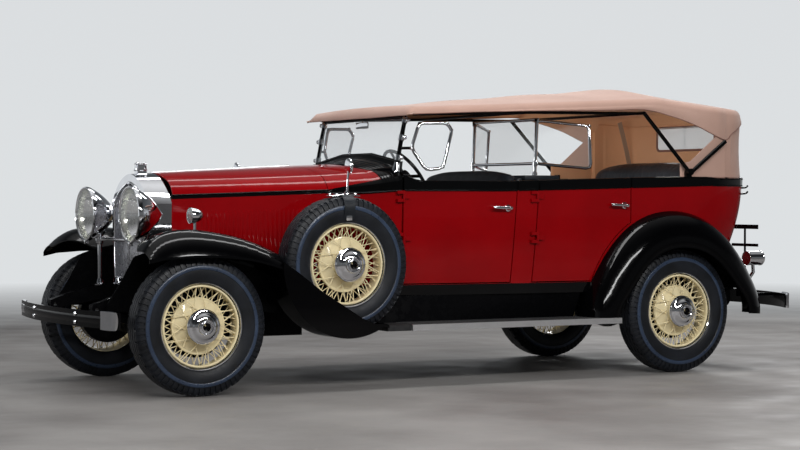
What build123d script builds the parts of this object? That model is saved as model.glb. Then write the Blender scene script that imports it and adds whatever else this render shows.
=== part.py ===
import os
from math import cos, radians, sin, sqrt

from build123d import *

os.makedirs("parts", exist_ok=True)

# Four-door phaeton touring car of about 1930, millimetres, full size.
# X runs from the front bumper to the rear one, Y to the car's right, Z up from the floor.
# The origin is on the floor, midway between the bumpers, on the car's centre line.

# Driving sizes
wheelbase = 3408
front_overhang = 612
rear_overhang = 1120
track = 1514
door_gap = 7
wall = 40
sheet = 6
contact = 0.3

front_x = (front_overhang - wheelbase - rear_overhang) / 2
rear_x = front_x + wheelbase
half_track = track / 2

# Wheels and tyres
tyre_radius = 405
tyre_width = 178
rim_radius = 252
rim_width = 116
hub_disc_radius = 168
hub_cap_radius = 78
hub_cap_face = 148
drum_radius = 185
spoke_pairs = 30
spoke_size = 5.5
axle_z = tyre_radius
kingpin_y = 640
steer_arm = 150
tie_rod_z = 300

# Ladder frame
rail_width = 60
rail_front_y = 362
rail_rear_y = 480
rail_top = 610
rail_kick_top = 690
tow_hole_radius = 11

# Body: widest half width, where it is, and the radius of its side in plan
side_max = 790
side_radius = 12423
widest_x = rear_x - 8
belt_z = 1193
sill_z = 540
side_tuck = 30
band_out = 6
hood_front_x = front_x + 22
hood_rear_x = front_x + 958
cowl_rear_x = front_x + 1430
pillar_x = front_x + 2284
tail_x = rear_x + 750
door_bottom = 608

# Fenders and boards
fender_outer_y = 905
fender_inner_y = 440
rear_fender_inner_y = 640
board_top = 378
board_rear_x = rear_x - 516
board_front_x = front_x + 1189
board_thick = 36
spare_x = front_x + 920
spare_y = 810
spare_z = 748
well_gap = 8
well_depth = 27
spindle_radius = 24
hub_bore_depth = 50
drum_gap = 20


def half_width(x):
    """Half width of the body at the belt."""
    return side_max - side_radius + sqrt(side_radius ** 2 - (widest_x - x) ** 2)


def tuck(z):
    """How far the side has turned in at a height below the belt."""
    return side_tuck * (max(belt_z - z, 0) / (belt_z - sill_z)) ** 2


def slab(x, y, z, mode=Mode.ADD):
    """Box between two places on each axis."""
    with Locations((sum(x) / 2, sum(y) / 2, sum(z) / 2)):
        Box(abs(x[1] - x[0]), abs(y[1] - y[0]), abs(z[1] - z[0]), mode=mode)


def rod(start, end, radius, mode=Mode.ADD):
    """Round bar between two points."""
    way = Vector(*end) - Vector(*start)
    with BuildSketch(Plane(origin=start, z_dir=way)) as end_face:
        Circle(radius)
    extrude(end_face.sketch, amount=way.length, mode=mode)


def bar(points, radius):
    """Round bar along straight runs with balls at its corners."""
    for start, end in zip(points, points[1:]):
        rod(start, end, radius)
    for corner in points[1:-1]:
        with Locations(corner):
            Sphere(radius)


def side_prism(points, reach=(-1200, 1200), mode=Mode.ADD):
    """Side view polygon carried across the car."""
    with BuildSketch(Plane.XZ.offset(-reach[1])) as view:
        with BuildLine():
            Polyline(*points, close=True)
        make_face()
    extrude(view.sketch, amount=reach[1] - reach[0], mode=mode)


def eased(rows, parts):
    """Rows between the given ones, on a smooth curve through them."""
    out = []
    for i in range(len(rows) - 1):
        ends = rows[max(i - 1, 0)], rows[i], rows[i + 1], rows[min(i + 2, len(rows) - 1)]
        for k in range(parts):
            t = k / parts
            out.append(tuple(b + t / 2 * (c - a + t * (2 * a - 5 * b + 4 * c - d + t * (3 * (b - c) + d - a)))
                             for a, b, c, d in zip(*ends)))
    out.append(rows[-1])
    return out


def mirrored(part):
    return part.mirror(Plane.XZ)


pieces = {}

# Frame: two rails that widen to the rear and rise over the rear axle
rail_side = [(front_x - 500, 520), (front_x - 380, 560), (front_x - 150, rail_top), (rear_x - 700, rail_top),
             (rear_x - 420, rail_kick_top), (rear_x + 340, rail_kick_top), (rear_x + 590, 600),
             (rear_x + 790, 590), (rear_x + 790, 540), (rear_x + 570, 540), (rear_x + 320, 610),
             (rear_x - 390, 610), (rear_x - 690, 480), (front_x + 100, 480), (front_x - 150, 520),
             (front_x - 400, 480), (front_x - 500, 460)]
rail_out = rail_width / 2
with BuildPart() as frame:
    with BuildSketch(Plane.XY.offset(400)):
        with BuildLine():
            Polyline((front_x - 520, rail_front_y - rail_out), (front_x + 700, rail_front_y - rail_out),
                     (front_x + 1500, rail_rear_y - rail_out), (rear_x + 800, rail_rear_y - rail_out),
                     (rear_x + 800, rail_rear_y + rail_out), (front_x + 1500, rail_rear_y + rail_out),
                     (front_x + 700, rail_front_y + rail_out), (front_x - 520, rail_front_y + rail_out),
                     close=True)
        make_face()
    extrude(amount=400)
    side_prism(rail_side, mode=Mode.INTERSECT)
    mirror(about=Plane.XZ)
    for x, low, high, y in [(front_x - 60, 540, rail_top, rail_front_y), (front_x + 1120, 480, 500 - contact, 420),
                            (front_x + 2240, 540, 600, rail_rear_y), (rear_x - 560, 560, 600, rail_rear_y),
                            (rear_x + 560, 545, 600, rail_rear_y)]:
        slab((x - 45, x + 45), (-y, y), (low, high))
    with BuildSketch(Plane.XZ.offset(-600)):
        with Locations((front_x - 472, 491)):
            Circle(tow_hole_radius)
    extrude(amount=1200, mode=Mode.SUBTRACT)
pieces["frame"] = frame

# Engine and gearbox as plain blocks at their real place
with BuildPart() as engine:
    slab((front_x + 120, front_x + 830), (-120, 120), (640, 1000))
    slab((front_x + 150, front_x + 860), (-170, 170), (470, 640))
    slab((front_x + 860, front_x + 1280), (-110, 110), (500, 605))
    slab((front_x + 260, front_x + 980), (-140, 140), (285, 470))
    slab((front_x + 300, front_x + 380), (-(rail_front_y - rail_out) + contact, rail_front_y - rail_out - contact),
         (540, 580))
pieces["engine"] = engine


def arch_section(x, width, shoulder_z, crown_z, bottom_z, bottom_width, inset=0):
    """Front view of hood or cowl at one place: upright sides, round shoulders and a low crown."""
    w = width - inset
    top = crown_z - inset
    rise = top - shoulder_z
    with BuildSketch(Plane(origin=(x, 0, 0), x_dir=(0, 1, 0), z_dir=(1, 0, 0))) as section:
        with BuildLine():
            start = (-(bottom_width - inset), bottom_z)
            left = (-w, shoulder_z)
            right = (w, shoulder_z)
            Line(start, left)
            ThreePointArc(left, (-w * 0.93, shoulder_z + rise * 0.34), (-w * 0.76, shoulder_z + rise * 0.64))
            ThreePointArc((-w * 0.76, shoulder_z + rise * 0.64), (-w * 0.40, shoulder_z + rise * 0.90), (0, top))
            ThreePointArc((0, top), (w * 0.40, shoulder_z + rise * 0.90), (w * 0.76, shoulder_z + rise * 0.64))
            ThreePointArc((w * 0.76, shoulder_z + rise * 0.64), (w * 0.93, shoulder_z + rise * 0.34), right)
            Line(right, (bottom_width - inset, bottom_z))
            Line((bottom_width - inset, bottom_z), start)
        make_face()
    return section.sketch


# Hood shell, cut into two hinged tops and two louvred sides
hood_sheet = 8
hood_bottom = 640
hood_front = dict(width=330, shoulder_z=1160, crown_z=1298)
hood_rear = dict(width=half_width(hood_rear_x), shoulder_z=belt_z, crown_z=1349)
hood_gap = 5
hinge_radius = 10


def hood_side_width(x):
    share = (x - hood_front_x) / (hood_rear_x - hood_front_x)
    return hood_front["width"] + share * (hood_rear["width"] - hood_front["width"])


def hood_belt(x):
    share = (x - hood_front_x) / (hood_rear_x - hood_front_x)
    return hood_front["shoulder_z"] + share * (hood_rear["shoulder_z"] - hood_front["shoulder_z"])


def hood_sections(inset):
    return [arch_section(x, bottom_z=hood_bottom - inset, bottom_width=end["width"] - 6, inset=inset, **end)
            for x, end in ((hood_front_x, hood_front), (hood_rear_x, hood_rear))]


with BuildPart() as hood_shell:
    loft(hood_sections(0), ruled=True)
    loft(hood_sections(hood_sheet), ruled=True, mode=Mode.SUBTRACT)

hood_low = [(hood_front_x + contact, hood_bottom),
            (hood_front_x + contact, hood_belt(hood_front_x) - hood_gap / 2),
            (hood_rear_x - contact, hood_belt(hood_rear_x) - hood_gap / 2),
            (hood_rear_x - contact, hood_bottom)]
hood_high = [(hood_front_x + hood_gap, hood_belt(hood_front_x) + hood_gap / 2),
             (hood_front_x + hood_gap, 1500), (hood_rear_x - hood_gap, 1500),
             (hood_rear_x - hood_gap, hood_belt(hood_rear_x) + hood_gap / 2)]

with BuildPart() as hood_side_left:
    side_prism(hood_low, reach=(-900, -100))
    add(hood_shell.part, mode=Mode.INTERSECT)
with BuildPart() as hood_side_right:
    add(mirrored(hood_side_left.part))
with BuildPart() as hood_top_left:
    side_prism(hood_high, reach=(-900, -hinge_radius - contact))
    add(hood_shell.part, mode=Mode.INTERSECT)
with BuildPart() as hood_top_right:
    add(mirrored(hood_top_left.part))
with BuildPart() as hood_hinge:
    rod((hood_front_x + 1, 0, hood_front["crown_z"] - hood_sheet / 2),
        (hood_rear_x - 1, 0, hood_rear["crown_z"] - hood_sheet / 2), hinge_radius)
pieces["hood_hinge"] = hood_hinge
pieces["hood_side_left"] = hood_side_left
pieces["hood_side_right"] = hood_side_right
pieces["hood_top_left"] = hood_top_left
pieces["hood_top_right"] = hood_top_right

# Radiator: pointed arch shell, with its core inside and its cap on top
shell_front_x = front_x - 118
rad_bottom = rail_top + contact


def radiator_outline(place, width, bottom_width, peak, shoulder, bottom):
    """Front view of the radiator at a distance behind its face: upright sides and a pointed arch."""
    with BuildSketch(front_plane.offset(place)) as outline:
        with BuildLine():
            Line((-bottom_width, bottom), (-width, shoulder))
            ThreePointArc((-width, shoulder), (-width * 0.66, shoulder + (peak - shoulder) * 0.62), (0, peak))
            ThreePointArc((0, peak), (width * 0.66, shoulder + (peak - shoulder) * 0.62), (width, shoulder))
            Line((width, shoulder), (bottom_width, bottom))
            Line((bottom_width, bottom), (-bottom_width, bottom))
        make_face()
    return outline.sketch


front_plane = Plane(origin=(shell_front_x, 0, 0), x_dir=(0, 1, 0), z_dir=(1, 0, 0))
shell_depth = hood_front_x - shell_front_x
with BuildPart() as radiator_shell:
    loft([radiator_outline(0, 290, 268, 1290, 1110, rad_bottom),
          radiator_outline(shell_depth, 330, 316, 1298, 1110, rad_bottom)], ruled=True)
    extrude(radiator_outline(-1, 252, 232, 1238, 1085, rad_bottom + 45), amount=shell_depth + 2,
            mode=Mode.SUBTRACT)
    slab((front_x - 75, front_x - 15), (-26, 26), (1270, 1312))
    with Locations((front_x - 45, 0, 1325)):
        Cylinder(38, 34)
    with Locations((front_x - 45, 0, 1349)):
        Cylinder(26, 16)
pieces["radiator_shell"] = radiator_shell

core_gap = 1
with BuildPart() as radiator_core:
    extrude(radiator_outline(30, 252 - core_gap, 232 - core_gap, 1238 - core_gap, 1085,
                             rad_bottom + 45 + contact), amount=shell_depth - 50)
pieces["radiator_core"] = radiator_core

# Line of the steering column, from its box on the frame to the wheel's hub
steer_y = -360
column_radius = 22
column_way = Vector(cos(radians(35)), 0, sin(radians(35)))
wheel_hub = Vector(front_x + 1602, steer_y, 1282)
column_foot = wheel_hub - column_way * 1080

# Cowl with its side walls, firewall and instrument board
cowl_sheet = 12
cowl_line = [(hood_rear_x, 1349), (front_x + 1250, 1362), (cowl_rear_x, 1408)]


def cowl_sections(side_in, top_in, low):
    """Front views of the cowl along its length, set in from the skin."""
    sections = []
    for x, crown in cowl_line:
        shoulder = belt_z + (x - hood_rear_x) / (cowl_rear_x - hood_rear_x) * 60 - low
        width = half_width(x) - side_in + top_in
        sections.append(arch_section(x, width, shoulder, crown, sill_z - low, width - side_tuck, inset=top_in))
    return sections


hinge_z = (860, 1120)
hinge_out = 12
hinge_pin = 8
front_hinge_x = cowl_rear_x + door_gap / 2
rear_hinge_x = pillar_x + 60


def barrel(x, z, low, high, way):
    """Part of a door hinge on the left: a barrel on its axis and a leaf that ends in a foot on the skin."""
    y = -half_width(x) - hinge_out
    rod((x, y, z + low), (x, y, z + high), hinge_pin)
    slab((x + way * 2, x + way * 46), (y - 2, y + 4), (z + low, z + high))
    slab((x + way * 30, x + way * 46), (y - 2, y + hinge_out + tuck(z) + 14), (z + low, z + high))


def body_hinges(x):
    for z in hinge_z:
        barrel(x, z, 0, 20, -1)
        barrel(x, z, 50, 70, -1)


def door_hinges(x):
    for z in hinge_z:
        barrel(x, z, 20 + contact, 50 - contact, 1)


with BuildPart() as cowl_hinges:
    body_hinges(front_hinge_x)
    mirror(about=Plane.XZ)
with BuildPart() as cowl:
    loft(cowl_sections(0, 0, 0), ruled=True)
    loft(cowl_sections(wall, cowl_sheet, 20), ruled=True, mode=Mode.SUBTRACT)
    wide = half_width(hood_rear_x + 20) - wall / 2 - side_tuck
    with BuildSketch(Plane.YZ.offset(hood_rear_x + 14)):
        with BuildLine():
            Polyline((-wide, 630), (-wide, belt_z), (-wide + 60, belt_z + 70), (wide - 60, belt_z + 70),
                     (wide, belt_z), (wide, 630), close=True)
        make_face()
    extrude(amount=12)
    board_wide = half_width(cowl_rear_x - 40) - wall / 2
    with BuildSketch(Plane.YZ.offset(cowl_rear_x - 30)):
        with BuildLine():
            Polyline((-board_wide, 1130), (-board_wide, 1250), (-board_wide * 0.7, 1330), (board_wide * 0.7, 1330),
                     (board_wide, 1250), (board_wide, 1130), close=True)
        make_face()
    extrude(amount=14)
    rod(column_foot, wheel_hub, column_radius + 2, mode=Mode.SUBTRACT)
    add(cowl_hinges.part)
pieces["cowl"] = cowl

# Tub: plan outlines at a few heights, as outer skin, raised belt band and hollow inside
tub_levels = [  # height, tail set in, both from the belt's outline
    (sill_z, 250), (760, 150), (980, 50), (belt_z, 0), (1330, -6)]


def tub_outline(z, tail_in, inset):
    """Plan of the tub at one height, set in from the skin."""
    side_in = tuck(z) + inset
    f = cowl_rear_x - (1 if inset > 0 else 0)
    w_mid = half_width(pillar_x) - side_in
    corner_x = rear_x + 592 - tail_in * 0.75 - inset * 0.75
    corner_y = 700 - side_in * 0.9 - tail_in * 0.1
    back_x = tail_x - tail_in - inset
    turn = (back_x - 33, 480 - inset * 0.5)
    b = (rear_x + 190 - tail_in * 0.4, half_width(rear_x + 190) - side_in)
    m = ((b[0] + corner_x) / 2, (b[1] + corner_y) / 2 + 22)
    t = ((corner_x + turn[0]) / 2 + 24, (corner_y + turn[1]) / 2 + 26)
    with BuildSketch(Plane.XY.offset(z)) as outline:
        with BuildLine():
            Line((f, -half_width(f) + side_in), (f, half_width(f) - side_in))
            ThreePointArc((f, half_width(f) - side_in), (pillar_x, w_mid), b)
            ThreePointArc(b, m, (corner_x, corner_y))
            ThreePointArc((corner_x, corner_y), t, turn)
            ThreePointArc(turn, (back_x, 0), (turn[0], -turn[1]))
            ThreePointArc((turn[0], -turn[1]), (t[0], -t[1]), (corner_x, -corner_y))
            ThreePointArc((corner_x, -corner_y), (m[0], -m[1]), (b[0], -b[1]))
            ThreePointArc((b[0], -b[1]), (pillar_x, -w_mid), (f, -half_width(f) + side_in))
        make_face()
    return outline.sketch


top_line = [(cowl_rear_x, 1290), (front_x + 1468, 1271), (front_x + 1543, 1246), (front_x + 2112, 1246),
            (rear_x - 293, 1273), (rear_x + 199, 1281), (rear_x + 800, 1286)]
belt_line = [(cowl_rear_x, belt_z), (front_x + 2112, belt_z), (rear_x - 293, 1218), (rear_x + 199, 1230),
             (rear_x + 800, 1236)]
with BuildPart() as band:
    loft([tub_outline(z, tail_in, -band_out) for z, tail_in in tub_levels[3:]])
    side_prism(belt_line + top_line[::-1], mode=Mode.INTERSECT)
with BuildPart() as tub_shell:
    loft([tub_outline(z, tail_in, 0) for z, tail_in in tub_levels])
    side_prism([(cowl_rear_x, sill_z - 5), (rear_x + 800, sill_z - 5)] + top_line[::-1], mode=Mode.INTERSECT)
    add(band.part)
    loft([tub_outline(z, tail_in, wall) for z, tail_in in tub_levels], mode=Mode.SUBTRACT)
    with BuildSketch(Plane.XZ.offset(-1000)):
        with Locations((rear_x, axle_z)):
            Circle(560 + contact)
    extrude(amount=2000, mode=Mode.SUBTRACT)

arch_peak = 682
rear_arch = [  # angle up from the rear, outline radius, drop of the outer edge
    (-3, 672, 165), (14, 648, 182), (32, 622, 200), (60, 634, 218), (90, 662, 236), (120, arch_peak, 232),
    (150, 678, 214), (168, 700, 190), (182, 724, 160)]

# Door outlines in side view: front edge, rear edge, and the rear fender's sweep
pillar_lean = 40
front_door = [(cowl_rear_x, door_bottom), (cowl_rear_x, 1400), (front_x + 2213, 1400), (front_x + 2211, 1244),
              (front_x + 2211 - pillar_lean, door_bottom)]
rear_door = [(front_x + 2357 - pillar_lean, door_bottom), (front_x + 2357, 1244), (front_x + 2357, 1400),
             (rear_x - 359, 1400), (rear_x - 359, door_bottom)]
fender_clear = arch_peak + contact + door_gap


def door_cut(outline, gap, mode):
    """Side view of a door, less its gap and the sweep of the rear fender."""
    with BuildSketch(Plane.XZ) as view:
        with BuildLine():
            Polyline(*outline, close=True)
        make_face()
        with Locations((rear_x + 12, axle_z)):
            Circle(fender_clear, mode=Mode.SUBTRACT)
        if gap:
            offset(amount=-gap, kind=Kind.INTERSECTION)
    extrude(view.sketch, amount=1000, mode=mode)


with BuildPart() as tub_hinges:
    body_hinges(rear_hinge_x)
    mirror(about=Plane.XZ)
with BuildPart() as tub:
    add(tub_shell.part)
    door_cut(front_door, 0, Mode.SUBTRACT)
    door_cut(rear_door, 0, Mode.SUBTRACT)
    split(bisect_by=Plane.XZ, keep=Keep.TOP)
    mirror(about=Plane.XZ)
    add(tub_hinges.part)
pieces["tub"] = tub


def lever(x, z):
    """Door handle: a round boss and a lever that points forward."""
    y = -half_width(x) + tuck(z)
    rod((x, y + 4, z), (x, y - 34, z), 11)
    rod((x + 6, y - 30, z), (x - 112, y - 38 + 10, z + 6), 8)


with BuildPart() as door_front_left:
    door_cut(front_door, door_gap, Mode.ADD)
    add(tub_shell.part, mode=Mode.INTERSECT)
    lever(front_x + 2140, 1082)
    door_hinges(front_hinge_x)
with BuildPart() as door_rear_left:
    door_cut(rear_door, door_gap, Mode.ADD)
    add(tub_shell.part, mode=Mode.INTERSECT)
    lever(rear_x - 412, 1098)
    door_hinges(rear_hinge_x)
with BuildPart() as door_front_right:
    add(mirrored(door_front_left.part))
with BuildPart() as door_rear_right:
    add(mirrored(door_rear_left.part))
pieces["door_front_left"] = door_front_left
pieces["door_front_right"] = door_front_right
pieces["door_rear_left"] = door_rear_left
pieces["door_rear_right"] = door_rear_right

# Floor on the rails, stepped up over the rear axle
step_x = rear_x - 418
narrow_x = rear_x - 640
floor_half = rear_fender_inner_y - 20
with BuildPart() as floor_pan:
    with BuildSketch(Plane.XY.offset(rail_top)):
        with BuildLine():
            near = [(x, half_width(x) - tuck(rail_top) - wall - 16)
                    for x in (hood_rear_x + 60, cowl_rear_x, pillar_x, narrow_x)]
            Polyline(*near, (narrow_x, floor_half), (step_x, floor_half), (step_x, -floor_half),
                     (narrow_x, -floor_half), *[(x, -y) for x, y in near[::-1]], close=True)
        make_face()
    extrude(amount=14)
    slab((step_x, step_x + 14), (-floor_half, floor_half), (rail_top + 14, rail_kick_top + 14))
    slab((step_x + 14, rear_x + 400), (-floor_half, floor_half), (rail_kick_top, rail_kick_top + 14))
    add(frame.part, mode=Mode.SUBTRACT)
pieces["floor_pan"] = floor_pan

# Front fenders: crown sections from the nose, over the wheel and down to the running board
fender_line = [  # place from the front axle, crown height, drop of the outer edge, inner edge height
    (-352, 842, 44, 785), (-296, 900, 96, 797), (-206, 944, 136, 818), (-60, 962, 146, 850), (140, 940, 130, 865),
    (335, 892, 110, 840), (543, 796, 80, 760), (700, 676, 58, 655), (853, 560, 42, 545), (1007, 455, 26, 445),
    (1100, 408, 16, 402), (1189, 392, 12, 387)]
crown_y = 760
fender_lip = 14
fender_end = fender_line[-1][0]


def fender_inner(x):
    """Inner edge of the front fender, which follows the hood and then turns out to the running board."""
    return fender_inner_y + max(0, (x - 350) / (fender_end - 350)) * 200


def fender_section(x, crown, drop, inner, inset):
    """Front view of a fender at one place."""
    inner_y = fender_inner(x)
    with BuildSketch(Plane(origin=(front_x + x, 0, 0), x_dir=(0, 1, 0), z_dir=(1, 0, 0))) as section:
        with BuildLine():
            a = (-inner_y - inset, inner - inset)
            b = (-crown_y, crown - inset)
            c = (-fender_outer_y + inset, crown - drop)
            h = ((a[0] + b[0]) / 2, (a[1] + b[1]) / 2 + (b[1] - a[1]) * 0.28 + 2)
            k = (b[0] - (b[0] - c[0]) * 0.68, b[1] - (b[1] - c[1]) * 0.38)
            ThreePointArc(a, h, b)
            ThreePointArc(b, k, c)
            low = min(c[1], a[1]) - fender_lip - inset
            Line(c, (c[0], low))
            Line((c[0], low), (a[0], low))
            Line((a[0], low), a)
        make_face()
    return section.sketch


fender_rows = eased(fender_line, 3)
with BuildPart() as crown_block:
    loft([fender_section(*row, 0) for row in fender_rows], ruled=True)
with BuildPart() as nose_cut:
    with BuildSketch(Plane.XY.offset(600)) as corner:
        with BuildLine():
            Polyline((front_x - 420, -400), (front_x - 420, -710), (front_x - 352, -710), (front_x - 318, -640),
                     (front_x - 268, -560), (front_x - 215, -492), (front_x - 160, -434), (front_x - 160, -400),
                     close=True)
        make_face()
    extrude(corner.sketch, amount=500)
with BuildPart() as crown_solid:
    add(crown_block.part)
    loft([fender_section(*row, sheet) for row in fender_rows], ruled=True, mode=Mode.SUBTRACT)
    add(nose_cut.part, mode=Mode.SUBTRACT)
seat_radius = tyre_radius + contact
well_radius = seat_radius + well_depth
well_half = tyre_width / 2 + well_gap
well_rim = [  # place from the front axle and height of the well's outer rim
    (440, 790), (498, 761), (590, 699), (734, 593), (853, 520), (1007, 425), (1092, 391), (1300, 385)]
with BuildPart() as well:
    with BuildSketch(Plane.XZ.offset(spare_y - well_half - sheet)):
        with Locations((spare_x, spare_z)):
            Circle(well_radius + sheet)
    extrude(amount=2 * (well_half + sheet))
    side_prism([(front_x + x, z) for x, z in well_rim] + [(front_x + 1300, 200), (front_x + 440, 200)],
               mode=Mode.INTERSECT)
with BuildPart() as well_space:
    with BuildSketch(Plane.XZ.offset(spare_y - well_half)):
        with Locations((spare_x, spare_z)):
            Circle(well_radius)
    extrude(amount=2 * well_half)
with BuildPart() as cradle:
    for x in (spare_x - 190, spare_x + 150):
        slab((x, x + 40), (-spare_y - well_half, -spare_y + well_half), (spare_z - well_radius - sheet / 2, spare_z))
    with BuildSketch(Plane.XZ.offset(spare_y - well_half)):
        with Locations((spare_x, spare_z)):
            Circle(well_radius + sheet / 2)
            Circle(seat_radius, mode=Mode.SUBTRACT)
    extrude(amount=2 * well_half, mode=Mode.INTERSECT)
with BuildPart() as front_fenders:
    add(crown_solid.part)
    add(well.part)
    add(well_space.part, mode=Mode.SUBTRACT)
    add(cradle.part)
    mirror(about=Plane.XZ)
pieces["front_fenders"] = front_fenders

# Splash aprons between the front fenders and the frame, held off the rails by brackets
splash_thick = 5
splash_low = [(fender_end - 20, 382), (1000, 412), (350, 478), (-350, 478), (-430, 484), (-430, 520), (-350, 642),
              (-262, 800)]
with BuildPart() as splash_aprons:
    with BuildSketch(Plane.XY.offset(300)) as band_plan:
        with BuildLine():
            turns = (-450, 350, fender_end - 20)
            Polyline(*[(front_x + x, -fender_inner(x) + contact) for x in turns],
                     *[(front_x + x, -fender_inner(x) + contact + splash_thick) for x in turns[::-1]], close=True)
        make_face()
    extrude(band_plan.sketch, amount=700)
    side_prism([(front_x + x, z) for x, z in splash_low]
               + [(front_x + x, inner) for x, crown, drop, inner in fender_line[2:-1]], mode=Mode.INTERSECT)
    for x in (front_x - 100, front_x + 520):
        slab((x - 20, x + 20), (-fender_inner(x - front_x) + splash_thick / 2, -rail_front_y - rail_out - contact),
             (540, 560))
    mirror(about=Plane.XZ)
pieces["splash_aprons"] = splash_aprons

# Rear fenders: domed sections set round the axle, trimmed to the body, and the wheelhouses in it
arch_centre = Vector(rear_x + 12, 0, axle_z)


def arch_section_at(angle, radius, drop, inset):
    """Section of the rear fender on a plane through the arch's centre line."""
    out = Vector(cos(radians(angle)), 0, sin(radians(angle)))
    plane = Plane(origin=tuple(arch_centre), x_dir=(0, -1, 0), z_dir=tuple(Vector(0, -1, 0).cross(out)))
    edge = fender_outer_y + 12
    with BuildSketch(plane) as section:
        with BuildLine():
            top = radius - inset
            low = radius - drop
            ThreePointArc((rear_fender_inner_y, top - 8), (760, top), (845, top - drop * 0.16))
            ThreePointArc((845, top - drop * 0.16), (edge - 20 - inset, top - drop * 0.45), (edge - inset, low))
            Line((edge - inset, low), (edge - inset, low - 10 - inset))
            Line((edge - inset, low - 10 - inset), (rear_fender_inner_y, low - 10 - inset))
            Line((rear_fender_inner_y, low - 10 - inset), (rear_fender_inner_y, top - 8))
        make_face()
    return section.sketch


wheelhouse_radius = 560
with BuildPart() as tub_block:
    loft([tub_outline(z, tail_in, 0) for z, tail_in in tub_levels])
with BuildPart() as rear_fender_skin:
    loft([arch_section_at(*row, 0) for row in rear_arch])
    loft([arch_section_at(*row, sheet) for row in rear_arch], mode=Mode.SUBTRACT)
    slab((rear_x - 900, rear_x - 300), (-1000, 0), (0, board_top + contact), mode=Mode.SUBTRACT)
    add(tub_block.part, mode=Mode.SUBTRACT)
with BuildPart() as wheelhouse:
    with BuildSketch(Plane.XZ.offset(rear_fender_inner_y)):
        with Locations((rear_x, axle_z)):
            Circle(wheelhouse_radius)
    extrude(amount=half_width(rear_x) - wall - rear_fender_inner_y - contact)
    with BuildSketch(Plane.XZ.offset(rear_fender_inner_y + sheet)):
        with Locations((rear_x, axle_z)):
            Circle(wheelhouse_radius - sheet)
    extrude(amount=200, mode=Mode.SUBTRACT)
    slab((rear_x - 900, rear_x + 900), (-1000, 0), (-400, sill_z), mode=Mode.SUBTRACT)
with BuildPart() as rear_fenders:
    add(rear_fender_skin.part)
    add(wheelhouse.part)
    mirror(about=Plane.XZ)
pieces["rear_fenders"] = rear_fenders

# Running boards with their bright edge strips, and the aprons above them
with BuildPart() as running_boards:
    slab((board_front_x + contact, board_rear_x), (-fender_outer_y + 20 + contact, -640),
         (board_top - board_thick, board_top))
    mirror(about=Plane.XZ)
pieces["running_boards"] = running_boards
with BuildPart() as board_trims:
    slab((front_x + 1350, board_rear_x), (-fender_outer_y, -fender_outer_y + 20),
         (board_top - board_thick, board_top))
    mirror(about=Plane.XZ)
pieces["board_trims"] = board_trims
with BuildPart() as aprons:
    with BuildSketch(Plane.YZ.offset(board_front_x + 20)):
        with BuildLine():
            Polyline((-640, board_top), (-646, board_top), (-600, sill_z), (-594, sill_z), close=True)
        make_face()
    with BuildSketch(Plane.YZ.offset(rear_x - 720)):
        with BuildLine():
            Polyline((-640, board_top), (-646, board_top), (-730, sill_z), (-724, sill_z), close=True)
        make_face()
    loft(ruled=True)
    mirror(about=Plane.XZ)
pieces["aprons"] = aprons

# Bumpers: one flat bar each, bowed, on two brackets from the frame horns
bumper_z = 449
bumper_high = 96


def bumper(mid_face, end_face, half_wide, direction):
    """Flat bar on edge, bowed in plan."""
    with BuildSketch(Plane.XY.offset(bumper_z - bumper_high / 2)) as plan:
        with BuildLine():
            back = direction * 12
            ThreePointArc((end_face, -half_wide), (mid_face, 0), (end_face, half_wide))
            Line((end_face, half_wide), (end_face + back, half_wide))
            ThreePointArc((end_face + back, half_wide), (mid_face + back, 0), (end_face + back, -half_wide))
            Line((end_face + back, -half_wide), (end_face, -half_wide))
        make_face()
    extrude(plan.sketch, amount=bumper_high)


with BuildPart() as front_bumper:
    bumper(front_x - front_overhang, front_x - 515, 848, 1)
    for y in (-rail_front_y, rail_front_y):
        slab((front_x - 590, front_x - 500), (y - 14, y + 14), (bumper_z + 12, bumper_z + 32))
pieces["front_bumper"] = front_bumper
with BuildPart() as rear_bumper:
    bumper(rear_x + rear_overhang, rear_x + 920, 800, -1)
    for y in (-rail_rear_y, rail_rear_y):
        slab((rear_x + 770, rear_x + 1035), (y - 14, y + 14), (bumper_z + 20, bumper_z + 40))
        slab((rear_x + 760, rear_x + 790), (y - 14, y + 14), (bumper_z + 20, 540))
pieces["rear_bumper"] = rear_bumper

# Headlamps: deep bowls on posts, with a bar between them, and lenses of their own
lamp_x = front_x - 265
lamp_y = 372
lamp_z = 1045
lamp_radius = 166
with BuildPart() as headlamps:
    with BuildSketch(Plane(origin=(lamp_x, -lamp_y, lamp_z), x_dir=(1, 0, 0), z_dir=(0, -1, 0))):
        with BuildLine():
            Line((0, lamp_radius), (24, lamp_radius))
            ThreePointArc((24, lamp_radius), (118, 106), (212, 0))
            Line((212, 0), (202, 0))
            ThreePointArc((202, 0), (110, 100), (24, lamp_radius - 8))
            Line((24, lamp_radius - 8), (0, lamp_radius - 8))
            Line((0, lamp_radius - 8), (0, lamp_radius))
        make_face()
    revolve(axis=Axis((lamp_x, -lamp_y, lamp_z), (1, 0, 0)))
    rod((lamp_x + 95, -lamp_y, lamp_z - 124), (lamp_x + 95, -lamp_y, rail_top - 20), 15)
    add(frame.part, mode=Mode.SUBTRACT)
    mirror(about=Plane.XZ)
    rod((lamp_x + 95, -lamp_y, 890), (lamp_x + 95, lamp_y, 890), 11)
pieces["headlamps"] = headlamps
with BuildPart() as headlamp_lenses:
    with Locations(Location((lamp_x + 9, -lamp_y, lamp_z), (0, 90, 0)), Location((lamp_x + 9, lamp_y, lamp_z), (0, 90, 0))):
        Cylinder(lamp_radius - 8 - contact, 8)
pieces["headlamp_lenses"] = headlamp_lenses

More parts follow.
